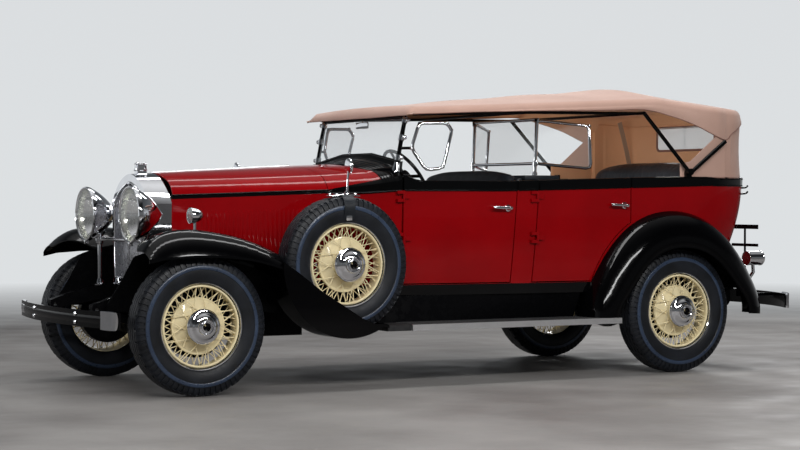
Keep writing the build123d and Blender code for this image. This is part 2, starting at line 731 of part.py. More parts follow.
# Small lamps: one on each front fender, and the tail lamp on its arm
arm_x = rear_x + 775
with BuildPart() as small_lamps:
    for y in (-620, 620):
        with BuildSketch(Plane(origin=(front_x + 16, y, 1041), x_dir=(1, 0, 0), z_dir=(0, -1, 0))):
            with BuildLine():
                Line((0, 0), (0, 44))
                ThreePointArc((0, 44), (60, 32), (92, 0))
                Line((92, 0), (0, 0))
            make_face()
        revolve(axis=Axis((front_x + 16, y, 1041), (1, 0, 0)))
        rod((front_x + 46, y, 1015), (front_x + 46, y, 900), 9)
    add(crown_block.part, mode=Mode.SUBTRACT)
    add(mirrored(crown_block.part), mode=Mode.SUBTRACT)
    rod((rear_x + 740, -600, 735), (rear_x + 860, -600, 735), 48)
    bar([(arm_x, -rail_rear_y - rail_out - contact, 570), (arm_x, -560, 570), (arm_x + 25, -600, 640),
         (arm_x + 20, -600, 700)], 12)
pieces["small_lamps"] = small_lamps

plate_spacing = 178
plate_hole = 4
with BuildPart() as plate_bracket:
    slab((arm_x - 3, arm_x + 3), (-680, -400), (935, 965))
    slab((arm_x - 3, arm_x + 3), (-680, -400), (815, 835))
    slab((arm_x - 3, arm_x + 3), (-548, -532), (570 + 12 + contact, 965))
    with BuildSketch(Plane.YZ.offset(arm_x - 10)):
        for y in (-540 - plate_spacing / 2, -540 + plate_spacing / 2):
            with Locations((y, 950)):
                Circle(plate_hole)
    extrude(amount=20, mode=Mode.SUBTRACT)
pieces["plate_bracket"] = plate_bracket

# Axles, springs, tank and exhaust
lug_gap = 36
with BuildPart() as front_axle:
    with BuildSketch(Plane.YZ.offset(front_x - 30)):
        with BuildLine():
            Polyline((-(kingpin_y - 10), axle_z + 30), (-(kingpin_y - 10), axle_z - 30), (-590, axle_z - 30),
                     (-520, axle_z - 62), (-440, 310), (440, 310), (520, axle_z - 62), (590, axle_z - 30),
                     (kingpin_y - 10, axle_z - 30), (kingpin_y - 10, axle_z + 30), (590, axle_z + 30),
                     (540, axle_z + 10), (430, 368), (-430, 368), (-540, axle_z + 10), (-590, axle_z + 30),
                     close=True)
        make_face()
    extrude(amount=60)
    for y in (-kingpin_y, kingpin_y):
        with Locations((front_x, y, axle_z)):
            Cylinder(28, 2 * (lug_gap - contact))
pieces["front_axle"] = front_axle

spring_half = 27
with BuildPart() as leaf_springs:
    for x, y, reach, seat, end, hang in [(front_x, rail_front_y, 430, 368 + contact, 462, 470),
                                         (rear_x, rail_rear_y + 80, 640, 452, 540, 548)]:
        with BuildSketch(Plane.XZ.offset(y - spring_half)) as leaf:
            with BuildLine():
                ThreePointArc((x - reach, end - 12), (x, seat), (x + reach, end - 12))
                Line((x + reach, end - 12), (x + reach, end))
                ThreePointArc((x + reach, end), (x, seat + 44), (x - reach, end))
                Line((x - reach, end), (x - reach, end - 12))
            make_face()
        extrude(leaf.sketch, amount=2 * spring_half)
    for x in (front_x - 430, front_x + 430 - 24):
        slab((x, x + 24), (-rail_front_y - 20, -rail_front_y + 20), (450, 480))
    for x in (rear_x - 640, rear_x + 640 - 24):
        slab((x, x + 24), (-rail_rear_y - 80, -rail_rear_y - rail_out - contact), (528, 556))
    add(frame.part, mode=Mode.SUBTRACT)
    mirror(about=Plane.XZ)
pieces["leaf_springs"] = leaf_springs

axle_tube = 46
with BuildPart() as rear_axle:
    rod((rear_x, -(half_track - 75), axle_z), (rear_x, half_track - 75, axle_z), axle_tube)
    with Locations((rear_x, 0, axle_z)):
        Sphere(150)
    rod((front_x + 1283, 0, 550), (front_x + 1700, 0, 530), 38)
    rod((front_x + 1700, 0, 530), (rear_x, 0, axle_z), 38)
    slab((rear_x - 60, rear_x + 60), (rail_rear_y + 53, rail_rear_y + 107), (axle_z, 452 - contact))
    slab((rear_x - 60, rear_x + 60), (-rail_rear_y - 107, -rail_rear_y - 53), (axle_z, 452 - contact))
    for y in (-1, 1):
        rod((rear_x, y * (half_track - 75), axle_z), (rear_x, y * (half_track - 30), axle_z), drum_radius)
        rod((rear_x, y * (half_track - 40), axle_z), (rear_x, y * (half_track + hub_bore_depth - 2), axle_z),
            spindle_radius)
pieces["rear_axle"] = rear_axle

with BuildPart() as fuel_tank:
    slab((rear_x + 360, rear_x + 720), (-rail_rear_y + rail_out + contact, rail_rear_y - rail_out - contact), (400, 544))
    fillet(fuel_tank.edges().filter_by(Axis.Y), 50)
pieces["fuel_tank"] = fuel_tank

with BuildPart() as exhaust:
    bar([(front_x + 820, 225, 540), (front_x + 1000, 260, 430), (rear_x - 500, 260, 400)], 25)
    rod((front_x + 1600, 260, 417), (front_x + 2300, 260, 411), 70)
    slab((front_x + 2230, front_x + 2250), (254, 266), (470, 540 - contact))
pieces["exhaust"] = exhaust

# Windshield: frame and glass leaning back on the cowl, with a wing at each side
shield_low = (front_x + 1438, 1372)
shield_high = (front_x + 1494, 1650)
shield_half = 552
with BuildPart() as windshield_frame:
    for y in (-shield_half, shield_half):
        bar([(shield_low[0], y, shield_low[1] - 70), (shield_low[0], y, shield_low[1]),
             (shield_high[0], y, shield_high[1])], 13)
        side = 1 if y > 0 else -1
        wing = [(front_x + 1512, side * 596, 1455), (front_x + 1553, side * 622, 1610), (front_x + 1731, side * 655, 1613),
                (front_x + 1767, side * 660, 1570), (front_x + 1702, side * 660, 1332)]
        bar(wing, 8)
        rod((shield_low[0] + 17, side * shield_half, 1455), wing[0], 9)
    rod((shield_high[0], -shield_half, shield_high[1]), (shield_high[0], shield_half, shield_high[1]), 11)
    bar([(shield_low[0], -shield_half, shield_low[1]), (shield_low[0] + 8, -200, shield_low[1] + 50),
         (shield_low[0] + 8, 200, shield_low[1] + 50), (shield_low[0], shield_half, shield_low[1])], 10)
    add(cowl.part, mode=Mode.SUBTRACT)
pieces["windshield_frame"] = windshield_frame

# Second windshield, behind the front seat
rear_shield_x = front_x + 2553
with BuildPart() as tonneau_frame:
    for side in (-1, 1):
        bar([(rear_shield_x, side * 392, 1290), (rear_shield_x + 20, side * 392, 1662),
             (rear_shield_x + 275, side * 620, 1617), (rear_shield_x + 262, side * 650, 1361),
             (rear_shield_x + 40, side * 560, 1300)], 9)
    rod((rear_shield_x + 20, -392, 1662), (rear_shield_x + 20, 392, 1662), 9)
    slab((front_x + 2345 + contact, rear_shield_x + 60), (-600, 600), (1262, 1292))
pieces["tonneau_frame"] = tonneau_frame

glass = 5
with BuildPart() as glass_panes:
    lean_way = Vector(shield_high[0] - shield_low[0], 0, shield_high[1] - shield_low[1])
    up = lean_way.normalized()
    centre = Vector((shield_low[0] + shield_high[0]) / 2, 0, (shield_low[1] + shield_high[1]) / 2)
    with BuildSketch(Plane(origin=tuple(centre), x_dir=(0, 1, 0), z_dir=(up.Z, 0, -up.X))):
        Rectangle(2 * shield_half - 28, lean_way.length - 24)
    extrude(amount=glass / 2, both=True)
    with BuildSketch(Plane(origin=(rear_shield_x + 11, 0, 1475), x_dir=(0, 1, 0), z_dir=(1, 0, -0.05))):
        Rectangle(776, 350)
    extrude(amount=glass / 2, both=True)
    add(windshield_frame.part, mode=Mode.SUBTRACT)
    add(tonneau_frame.part, mode=Mode.SUBTRACT)
pieces["glass_panes"] = glass_panes

# Canvas top: roof, back curtain and rear quarters, open along the doors
canvas = 10
roof_line = [  # place from the front axle, half width, height where the roof turns over, crown height
    (1432, 690, 1668, 1700), (1500, 697, 1685, 1738), (2300, 735, 1738, 1812), (3260, 778, 1790, 1890),
    (3950, 790, 1720, 1802), (4150, 790, 1690, 1762)]


def roof_section(x, width, turn, crown, inset):
    with BuildSketch(Plane(origin=(front_x + x, 0, 0), x_dir=(0, 1, 0), z_dir=(1, 0, 0))) as section:
        with BuildLine():
            w = width - inset
            Line((-w, 1286 - inset), (-w, turn - 40))
            ThreePointArc((-w, turn - 40), (-w + 12, turn - 6), (-w + 55, turn + 14 - inset))
            ThreePointArc((-w + 55, turn + 14 - inset), (0, crown - inset), (w - 55, turn + 14 - inset))
            ThreePointArc((w - 55, turn + 14 - inset), (w - 12, turn - 6), (w, turn - 40))
            Line((w, turn - 40), (w, 1286 - inset))
            Line((w, 1286 - inset), (-w, 1286 - inset))
        make_face()
    return section.sketch


valance_low = [  # place from the front axle and height of the canvas edge along the side
    (1380, 1200), (1380, 1652), (1500, 1662), (2067, 1688), (2830, 1710), (3145, 1722), (3330, 1692), (3555, 1632),
    (3815, 1532), (3532, 1300), (3532, 1200)]
valance_line = [(front_x + x, z) for x, z in valance_low]


def back_outline(inset):
    """Plan of the back of the canvas, just inside the body's own outline."""
    corner = (rear_x + 610 - inset, 690 - inset)
    with BuildSketch(Plane.XY.offset(1200)) as plan:
        with BuildLine():
            Line((front_x + 1400, -800 + inset), (front_x + 1400, 800 - inset))
            Line((front_x + 1400, 800 - inset), (rear_x + 190, 778 - inset))
            ThreePointArc((rear_x + 190, 778 - inset), (rear_x + 420, 752 - inset), corner)
            ThreePointArc(corner, (rear_x + 682 - inset, 610 - inset), (rear_x + 708 - inset, 470 - inset / 2))
            ThreePointArc((rear_x + 708 - inset, 470 - inset / 2), (rear_x + 722 - inset, 0),
                          (rear_x + 708 - inset, -470 + inset / 2))
            ThreePointArc((rear_x + 708 - inset, -470 + inset / 2), (rear_x + 682 - inset, -610 + inset),
                          (corner[0], -corner[1]))
            ThreePointArc((corner[0], -corner[1]), (rear_x + 420, -752 + inset), (rear_x + 190, -778 + inset))
            Line((rear_x + 190, -778 + inset), (front_x + 1400, -800 + inset))
        make_face()
    extrude(plan.sketch, amount=800, mode=Mode.INTERSECT)


with BuildPart() as roof_hollow:
    loft([roof_section(*row, canvas) for row in roof_line], ruled=True)
    back_outline(canvas)
with BuildPart() as top_canvas:
    loft([roof_section(*row, 0) for row in roof_line], ruled=True)
    back_outline(0)
    add(roof_hollow.part, mode=Mode.SUBTRACT)
    side_prism(valance_line, mode=Mode.SUBTRACT)
    slab((rear_x + 600, rear_x + 760), (-310, 310), (1495, 1650), mode=Mode.SUBTRACT)
pieces["top_canvas"] = top_canvas

# Irons of the top: side rails, struts and rear arms from a pivot on each side, and cross bows
pivot = (rear_x + 96, 802, 1320)
strut_top = (rear_x - 275, 1700)
header_z = shield_high[1] + 11 + contact
with BuildPart() as top_irons:
    slab((front_x + 1450, front_x + 1510), (-640, 640), (header_z, header_z + 11))
    for side in (-1, 1):
        rod((pivot[0], side * 802, pivot[2]), (strut_top[0], side * 806, strut_top[1]), 13)
        rod((pivot[0] + 14, side * 812, pivot[2]), (rear_x + 396, side * 800, 1524), 14)
        rod((pivot[0], side * 778, pivot[2]), (pivot[0], side * 826, pivot[2]), 22)
        slab((pivot[0] - 22, pivot[0] + 22), (side * 765, side * 800), (1281, 1316))
        bar([(front_x + 1506, side * 628, header_z + 4), (front_x + 2300, side * 690, 1690),
             (strut_top[0], side * 735, strut_top[1])], 10)
        rod((strut_top[0], side * 735, strut_top[1]), (strut_top[0], side * 806, strut_top[1]), 11)
    for x, y, z in [(front_x + 2300, 690, 1690), (strut_top[0], 735, strut_top[1])]:
        rod((x, -y, z), (x, y, z), 10)
    add(tub.part, mode=Mode.SUBTRACT)
    add(top_canvas.part, mode=Mode.SUBTRACT)
pieces["top_irons"] = top_irons

# Seats: cushion and back in leather
front_seat_half = 585
with BuildPart() as front_seat:
    side_prism([(front_x + 1800, rail_top + 14), (front_x + 1780, 900), (front_x + 1830, 950), (front_x + 2190, 930),
                (front_x + 2240, 1300), (front_x + 2275, 1340), (front_x + 2320, 1335), (front_x + 2345, 1280),
                (front_x + 2330, rail_top + 14)], reach=(-front_seat_half, front_seat_half))
    fillet(front_seat.edges().filter_by(Axis.Y).group_by(Axis.Z)[-1], 12)
pieces["front_seat"] = front_seat
with BuildPart() as rear_seat:
    side_prism([(rear_x - 330, rail_kick_top + 14), (rear_x - 350, 900), (rear_x - 300, 955), (rear_x + 210, 935),
                (rear_x + 290, 1385), (rear_x + 330, 1412), (rear_x + 420, 1410), (rear_x + 470, 1360),
                (rear_x + 380, 900), (rear_x + 380, rail_kick_top + 14)], reach=(-590, 590))
pieces["rear_seat"] = rear_seat

# Steering: column through the dash, and the wheel that turns on it
with BuildPart() as steering_column:
    rod(column_foot, wheel_hub - column_way * (18 + contact), column_radius)
    slab((column_foot.X - 50, column_foot.X + 60), (steer_y - 32, steer_y + 28), (rail_top, column_foot.Z + 30))
pieces["steering_column"] = steering_column
steer_plane = Plane(origin=tuple(wheel_hub), x_dir=(0, 1, 0), z_dir=tuple(column_way))
with BuildPart() as steering_wheel:
    with BuildSketch(Plane(origin=tuple(wheel_hub), x_dir=steer_plane.x_dir, z_dir=steer_plane.y_dir)):
        with Locations((194, 0)):
            Circle(11)
    revolve(axis=Axis(tuple(wheel_hub), tuple(column_way)))
    with BuildSketch(steer_plane.offset(-18)):
        Circle(38)
    extrude(amount=36)
    with BuildSketch(steer_plane.offset(-5)):
        Rectangle(380, 18)
        Rectangle(18, 380)
    extrude(amount=10)
pieces["steering_wheel"] = steering_wheel

# Knuckles: kingpin barrel, stub axle, brake drum and steering arm; the tie rod joins the arms
with BuildPart() as knuckle_left:
    for z in (axle_z - lug_gap - 22, axle_z + lug_gap + 22):
        with Locations((front_x, -kingpin_y, z)):
            Cylinder(30, 44)
    with BuildSketch(Plane.XZ.offset(kingpin_y + 36)):
        with Locations((front_x, axle_z)):
            Circle(drum_radius)
    extrude(amount=half_track - kingpin_y - 36 - drum_gap)
    rod((front_x, -half_track + drum_gap + 5, axle_z), (front_x, -half_track - hub_bore_depth + 2, axle_z),
        spindle_radius)
    slab((front_x - 30, front_x + 30), (-kingpin_y - 40, -kingpin_y), (axle_z - lug_gap - 44, axle_z - lug_gap))
    slab((front_x - 30, front_x + 30), (-kingpin_y - 40, -kingpin_y), (axle_z + lug_gap, axle_z + lug_gap + 44))
    rod((front_x + 8, -kingpin_y, axle_z - 72), (front_x + steer_arm, -kingpin_y, tie_rod_z + 36), 14)
    rod((front_x + steer_arm, -kingpin_y, tie_rod_z + 17 + contact), (front_x + steer_arm, -kingpin_y, tie_rod_z + 44), 18)
with BuildPart() as knuckle_right:
    add(mirrored(knuckle_left.part))
with BuildPart() as tie_rod:
    rod((front_x + steer_arm, -kingpin_y, tie_rod_z), (front_x + steer_arm, kingpin_y, tie_rod_z), 13)
    for y in (-kingpin_y, kingpin_y):
        with Locations((front_x + steer_arm, y, tie_rod_z)):
            Cylinder(20, 2 * 17)
pieces["knuckle_left"] = knuckle_left
pieces["knuckle_right"] = knuckle_right
pieces["tie_rod"] = tie_rod

# Tyre: a many-sided ring with flat tread, rounded shoulders and beads on the rim


tyre_sides = 60
tyre_profile = [  # place across the tyre and radius
    (-62, rim_radius), (-88, 318), (-86, 368), (-66, tyre_radius), (66, tyre_radius), (86, 368), (88, 318),
    (62, rim_radius)]


def tyre_ring(across, radius):
    with BuildSketch(Plane.XZ.offset(across)) as ring:
        RegularPolygon(radius, tyre_sides, major_radius=radius > rim_radius + contact)
    return ring.sketch


# Wire wheel: rim, dished hub shell, cap and crossed spokes, facing left at the origin
with BuildPart() as wheel_left:
    with BuildSketch(Plane(origin=(0, 0, 0), x_dir=(0, -1, 0), z_dir=(-1, 0, 0))):
        with BuildLine():
            Polyline((-58, rim_radius), (58, rim_radius), (58, rim_radius - 16), (40, rim_radius - 22),
                     (-40, rim_radius - 22), (-58, rim_radius - 16), close=True)
        make_face()
        with BuildLine():
            Polyline((-10, 0), (-10, 60), (10, hub_disc_radius), (18, hub_disc_radius), (52, 92), (96, hub_cap_radius),
                     (112, hub_cap_radius), (124, 62), (124, 34), (hub_cap_face - 6, 32), (hub_cap_face, 0), close=True)
        make_face()
    revolve(axis=Axis.Y)
    with BuildSketch(Plane.XZ.offset(-20)):
        Circle(spindle_radius + contact)
    extrude(amount=20 + hub_bore_depth, mode=Mode.SUBTRACT)
    spokes = []
    for n in range(spoke_pairs):
        for turn in (-1, 1):
            angle = 360 * n / spoke_pairs + turn * 2
            end_angle = angle + turn * 9
            inner = Vector((hub_disc_radius - 8) * cos(radians(angle)), -8 if turn > 0 else -14,
                           (hub_disc_radius - 8) * sin(radians(angle)))
            outer = Vector((rim_radius - 18) * cos(radians(end_angle)), -30 if turn > 0 else 20,
                           (rim_radius - 18) * sin(radians(end_angle)))
            with BuildSketch(Plane(origin=inner, x_dir=(0, 1, 0), z_dir=outer - inner), mode=Mode.PRIVATE) as end_face:
                Rectangle(spoke_size, spoke_size)
            spokes.append(extrude(end_face.sketch, amount=(outer - inner).length, mode=Mode.PRIVATE))
    add(spokes)
wheel_right = mirrored(wheel_left.part)
with BuildPart() as tyre_master:
    loft([tyre_ring(across, radius if radius > rim_radius else rim_radius + contact)
          for across, radius in tyre_profile], ruled=True)
    extrude(tyre_ring(-100, rim_radius + contact), amount=200, mode=Mode.SUBTRACT)

for label, x, side in [("front_left", front_x, -1), ("front_right", front_x, 1), ("rear_left", rear_x, -1),
                       ("rear_right", rear_x, 1)]:
    place = Location((x, side * half_track, axle_z))
    with BuildPart() as tyre:
        add(tyre_master.part.moved(place))
    with BuildPart() as wheel:
        add((wheel_left.part if side < 0 else wheel_right).moved(place))
    pieces["tyre_" + label] = tyre
    pieces["wheel_" + label] = wheel
with BuildPart() as spare_tyres:
    add(tyre_master.part.moved(Location((spare_x, -spare_y, spare_z))))
    mirror(about=Plane.XZ)
pieces["spare_tyres"] = spare_tyres
with BuildPart() as spare_wheels:
    add(wheel_left.part.moved(Location((spare_x, -spare_y, spare_z))))
    mirror(about=Plane.XZ)
pieces["spare_wheels"] = spare_wheels
mirror_z = 1335
with BuildPart() as spare_mirrors:
    top = spare_z + tyre_radius + contact
    slab((spare_x - 60, spare_x + 60), (-spare_y - 30, -spare_y + 30), (top, top + 14))
    rod((spare_x + 30, -spare_y, top + 10), (spare_x + 40, -spare_y, mirror_z + 4), 8)
    with Locations((spare_x + 40, -spare_y, mirror_z)):
        Box(14, 84, 66)
    mirror(about=Plane.XZ)
pieces["spare_mirrors"] = spare_mirrors

for label, piece in pieces.items():
    piece.part.label = label
    export_step(piece.part, f"parts/{label}.step")
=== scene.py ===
import bmesh
import bpy
from math import atan2, cos, exp, pi, radians, sin, sqrt
from mathutils import Matrix, Vector, noise


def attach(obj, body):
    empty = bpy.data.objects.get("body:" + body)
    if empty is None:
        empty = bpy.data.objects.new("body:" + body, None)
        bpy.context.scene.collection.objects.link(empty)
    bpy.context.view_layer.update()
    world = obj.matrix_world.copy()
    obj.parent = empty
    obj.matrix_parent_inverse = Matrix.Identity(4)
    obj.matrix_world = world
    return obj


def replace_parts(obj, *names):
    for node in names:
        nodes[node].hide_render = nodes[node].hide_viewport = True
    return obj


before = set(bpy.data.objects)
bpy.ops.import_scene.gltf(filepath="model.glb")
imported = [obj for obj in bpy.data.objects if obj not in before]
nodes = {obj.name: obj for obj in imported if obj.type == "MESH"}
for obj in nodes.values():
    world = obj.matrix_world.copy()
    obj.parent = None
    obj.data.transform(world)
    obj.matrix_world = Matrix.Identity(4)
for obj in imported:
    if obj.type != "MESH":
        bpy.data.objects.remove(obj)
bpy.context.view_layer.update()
print("frame loaded")

# Places in metres that the pieces share with the model
frontX, rearX = -1.958, 1.45
axleZ, halfTrack = 0.405, 0.757
cowlRearX = frontX + 1.43
spareX, spareY, spareZ = frontX + 0.92, 0.81, 0.748
sides = {"left": -1, "right": 1}
bodyShape = dict(half=0.79, planRadius=12.423, widestX=rearX - 0.008, tuck=0.03, beltZ=1.193, tuckDepth=0.653)


def at(x, y, z):  # a place whose x is counted back from the front axle
    return (frontX + x, y, z)


def halfWidth(x):  # half width of the body at the belt
    radius = bodyShape["planRadius"]
    return bodyShape["half"] - radius + sqrt(radius ** 2 - (bodyShape["widestX"] - x) ** 2)


def tuckIn(z):  # how far the body's side has turned in below the belt
    return bodyShape["tuck"] * (max(bodyShape["beltZ"] - z, 0) / bodyShape["tuckDepth"]) ** 2


def runAlong(line, x):  # height at x on a line of (x, z) points
    for (xa, za), (xb, zb) in zip(line, line[1:]):
        if x <= xb:
            return za + (zb - za) * (max(x, xa) - xa) / (xb - xa)
    return line[-1][1]


beltLine = [(cowlRearX, 1.193), (frontX + 2.112, 1.193), (rearX - 0.293, 1.218), (rearX + 0.199, 1.23),
            (rearX + 0.8, 1.236)]
view = dict(lens=89.49, place=(-6.5169, -11.3542, 1.1335), yaw=29.11, pitch=-0.725, roll=0.034)  # as in the photo
camera = bpy.data.cameras.new("camera")
camera.lens, camera.sensor_width, camera.sensor_fit = view["lens"], 36, "HORIZONTAL"
camera.clip_end = 200
cameraObject = bpy.data.objects.new("camera", camera)
bpy.context.scene.collection.objects.link(cameraObject)
bpy.context.scene.camera = cameraObject
yaw, pitch, roll = (radians(view[turn]) for turn in ("yaw", "pitch", "roll"))
cameraObject.matrix_world = (Matrix.Translation(view["place"]) @ Matrix.Rotation(-yaw, 4, "Z")
                             @ Matrix.Rotation(pi / 2 + pitch, 4, "X") @ Matrix.Rotation(roll, 4, "Z"))


# Effects that several finishes share, as node groups
def effect(name, inputs, output):
    tree = bpy.data.node_groups.new(name, "ShaderNodeTree")
    for label, value in inputs.items():
        kind = "NodeSocketVector" if isinstance(value, tuple) else "NodeSocketFloat"
        tree.interface.new_socket(name=label, in_out="INPUT", socket_type=kind).default_value = value
    tree.interface.new_socket(name=output, in_out="OUTPUT", socket_type="NodeSocketFloat")
    return tree, tree.nodes.new("NodeGroupInput").outputs, tree.nodes.new("NodeGroupOutput").inputs


def stretchedCoords(tree, stretch):
    coords, mapping = tree.nodes.new("ShaderNodeTexCoord"), tree.nodes.new("ShaderNodeMapping")
    tree.links.new(coords.outputs["Object"], mapping.inputs["Vector"])
    tree.links.new(stretch, mapping.inputs["Scale"])
    return mapping.outputs["Vector"]


cloud, given, result = effect("cloud", {"Scale": 5.0, "Detail": 3.0, "Low": 0.3, "High": 0.7, "From": 0.0, "To": 1.0,
                                        "Stretch": (1.0, 1.0, 1.0)}, "Value")
pattern, spread = cloud.nodes.new("ShaderNodeTexNoise"), cloud.nodes.new("ShaderNodeMapRange")
cloud.links.new(stretchedCoords(cloud, given["Stretch"]), pattern.inputs["Vector"])
cloud.links.new(given["Scale"], pattern.inputs["Scale"])
cloud.links.new(given["Detail"], pattern.inputs["Detail"])
for label, socket in zip(("Low", "High", "From", "To"), list(spread.inputs)[1:5]):
    cloud.links.new(given[label], socket)
cloud.links.new(pattern.outputs["Fac"], spread.inputs[0])
cloud.links.new(spread.outputs[0], result[0])

weave, given, result = effect("weave", {"Threads": 210.0, "Stretch": (1.0, 1.0, 1.0)}, "Height")
crossed = weave.nodes.new("ShaderNodeMath")
crossed.operation = "MULTIPLY"
for place, direction in enumerate(("X", "Y")):
    wave = weave.nodes.new("ShaderNodeTexWave")
    wave.bands_direction = direction
    wave.inputs["Distortion"].default_value = 0.6
    weave.links.new(given["Threads"], wave.inputs["Scale"])
    weave.links.new(stretchedCoords(weave, given["Stretch"]), wave.inputs["Vector"])
    weave.links.new(wave.outputs["Fac"], crossed.inputs[place])
weave.links.new(crossed.outputs[0], result[0])


class Finish:
    # One material: its shader, with short calls that add and join nodes
    def __init__(self, name, **values):
        self.material = bpy.data.materials.new(name)
        self.material.use_nodes = True
        self.tree = self.material.node_tree
        self.shader = self.tree.nodes["Principled BSDF"]
        self.coords = self.add("ShaderNodeTexCoord").outputs["Object"]
        self.set(**values)

    def add(self, kind, **values):
        node = self.tree.nodes.new(kind)
        for key, value in values.items():
            setattr(node, key, value)
        return node

    def join(self, source, target):
        self.tree.links.new(source, self.shader.inputs[target] if isinstance(target, str) else target)

    def set(self, **values):
        names = dict(color="Base Color", metal="Metallic", rough="Roughness", coat="Coat Weight",
                     coatRough="Coat Roughness", sheen="Sheen Weight", sheenRough="Sheen Roughness",
                     specular="Specular IOR Level", alpha="Alpha")
        for key, value in values.items():
            self.shader.inputs[names[key]].default_value = (*value, 1) if key == "color" else value

    def group(self, tree, **values):
        node = self.add("ShaderNodeGroup", node_tree=tree)
        for key, value in values.items():
            node.inputs[key.capitalize()].default_value = value
        return node.outputs[0]

    def cloud(self, scale, detail=3, low=0.3, high=0.7, start=0.0, end=1.0, stretch=(1, 1, 1)):
        node = self.group(cloud, scale=scale, detail=detail, low=low, high=high, to=end, stretch=stretch).node
        node.inputs["From"].default_value = start
        return node.outputs[0]

    def mix(self, mask, a, b, way="MIX"):
        node = self.add("ShaderNodeMix", data_type="RGBA", blend_type=way)
        if isinstance(mask, float):
            node.inputs["Factor"].default_value = mask
        else:
            self.join(mask, node.inputs["Factor"])
        for socket, value in ((node.inputs[6], a), (node.inputs[7], b)):
            if isinstance(value, tuple):
                socket.default_value = (*value, 1)
            else:
                self.join(value, socket)
        return node.outputs[2]

    def math(self, operation, a, b, clamp=False):
        node = self.add("ShaderNodeMath", operation=operation, use_clamp=clamp)
        for socket, value in zip(node.inputs, (a, b)):
            if isinstance(value, (int, float)):
                socket.default_value = value
            else:
                self.join(value, socket)
        return node.outputs[0]

    def span(self, value, low, high, start=0.0, end=1.0):
        node = self.add("ShaderNodeMapRange")
        for socket, number in zip(list(node.inputs)[1:5], (low, high, start, end)):
            socket.default_value = number
        self.join(value, node.inputs[0])
        return node.outputs[0]

    def bump(self, height, strength, distance):
        node = self.add("ShaderNodeBump")
        node.inputs["Strength"].default_value = strength
        node.inputs["Distance"].default_value = distance
        self.join(height, node.inputs["Height"])
        if self.shader.inputs["Normal"].is_linked:
            self.join(self.shader.inputs["Normal"].links[0].from_socket, node.inputs["Normal"])
        self.join(node.outputs["Normal"], "Normal")

    def texture(self, kind, scale, output, **values):
        node = self.add(kind, **values)
        node.inputs["Scale"].default_value = scale
        self.join(self.coords, node.inputs["Vector"])
        return node.outputs[output]


paint = dict(red=(0.255, 0.0009, 0.0026), black=(0.001, 0.001, 0.0013), cream=(0.86, 0.74, 0.46),
             chassis=(0.003, 0.003, 0.0035), hardRubber=(0.008, 0.008, 0.009), sheen=0.05)
plating = dict(chrome=((0.82, 0.83, 0.86), 0.05, (1, 1, 1), 900),
               aluminium=((0.9, 0.9, 0.91), 0.34, (1, 60, 60), 900),
               iron=((0.2, 0.2, 0.21), 0.5, (1, 1, 1), 220))
fabric = dict(canvas=((0.6, 0.415, 0.345), (0.5, 0.335, 0.272)), binding=((0.34, 0.19, 0.15), (0.28, 0.155, 0.12)),
              lining=((0.86, 0.55, 0.34), (0.76, 0.46, 0.27)), webbing=((0.62, 0.52, 0.42), (0.5, 0.42, 0.34)))
materials = {}


def enamel(name, color, dusty=0.03, coat=1.0):
    # Gloss enamel: faint orange peel, slow change of depth, and dust that dulls it in patches
    n = Finish(name + "Enamel", coat=coat, coatRough=0.03, specular=paint["sheen"])
    n.join(n.mix(n.cloud(3.5, 4, 0.35, 0.7), tuple(c * 0.86 for c in color), color), "Base Color")
    n.join(n.cloud(26, 5, 0.3, 0.8, 0.12, 0.12 + dusty * 3), "Roughness")
    n.bump(n.cloud(420, 2, 0, 1), 0.05, 0.0002)
    materials[name] = n.material
    return n


for name, dusty, coat in (("red", 0.03, 0.35), ("black", 0.02, 0.28), ("cream", 0.06, 0.5), ("chassis", 0.12, 0.0),
                          ("hardRubber", 0.05, 0.4)):
    enamel(name, paint[name], dusty, coat)
for name, (color, rough, stretch, fine) in plating.items():  # polishing marks, and cloudy roughness
    n = Finish(name + "Plate", metal=1.0)
    n.join(n.mix(n.cloud(14, 4, 0.3, 0.75), tuple(c * 0.93 for c in color), color), "Base Color")
    n.join(n.cloud(60, 4, 0.25, 0.8, rough * 0.7, rough * 1.5, stretch), "Roughness")
    n.bump(n.cloud(fine, 2, 0, 1, stretch=stretch), 0.04, 0.00015)
    materials[name] = n.material


def bodyPaint(name, line, low, top=None):
    # Red enamel, with black above a line of (x, z) points and below a height; a top is red again above its belt
    n = enamel(name, paint["red"], coat=0.35)
    redOut = n.shader.inputs["Base Color"].links[0].from_socket
    split = n.add("ShaderNodeSeparateXYZ")
    n.join(n.coords, split.inputs[0])
    curve = n.add("ShaderNodeFloatCurve")
    xa, xb, za, zb = line[0][0], line[-1][0], min(p[1] for p in line), max(p[1] for p in line)
    points = curve.mapping.curves[0].points
    while len(points) < len(line):
        points.new(0.5, 0.5)
    for point, (x, z) in zip(sorted(points, key=lambda p: p.location[0]), line):
        point.location = ((x - xa) / (xb - xa), (z - za) / (zb - za))
        point.handle_type = "VECTOR"
    curve.mapping.update()
    n.join(n.span(split.outputs[0], xa, xb), curve.inputs["Value"])
    above = n.math("GREATER_THAN", split.outputs[2], n.span(curve.outputs[0], 0, 1, za, zb))
    if top:
        over = n.math("GREATER_THAN", split.outputs[2], n.span(split.outputs[0], *top["beltX"], *top["beltZ"]))
        bound = n.span(n.math("ABSOLUTE", split.outputs[1], 0), *top["acrossY"], *top["boundX"])
        ahead = n.math("LESS_THAN", split.outputs[0], bound)
        above = n.math("SUBTRACT", above, n.math("MULTIPLY", over, ahead), True)
    below = n.math("LESS_THAN", split.outputs[2], low)
    n.join(n.mix(n.math("ADD", above, below, True), redOut, paint["black"]), "Base Color")


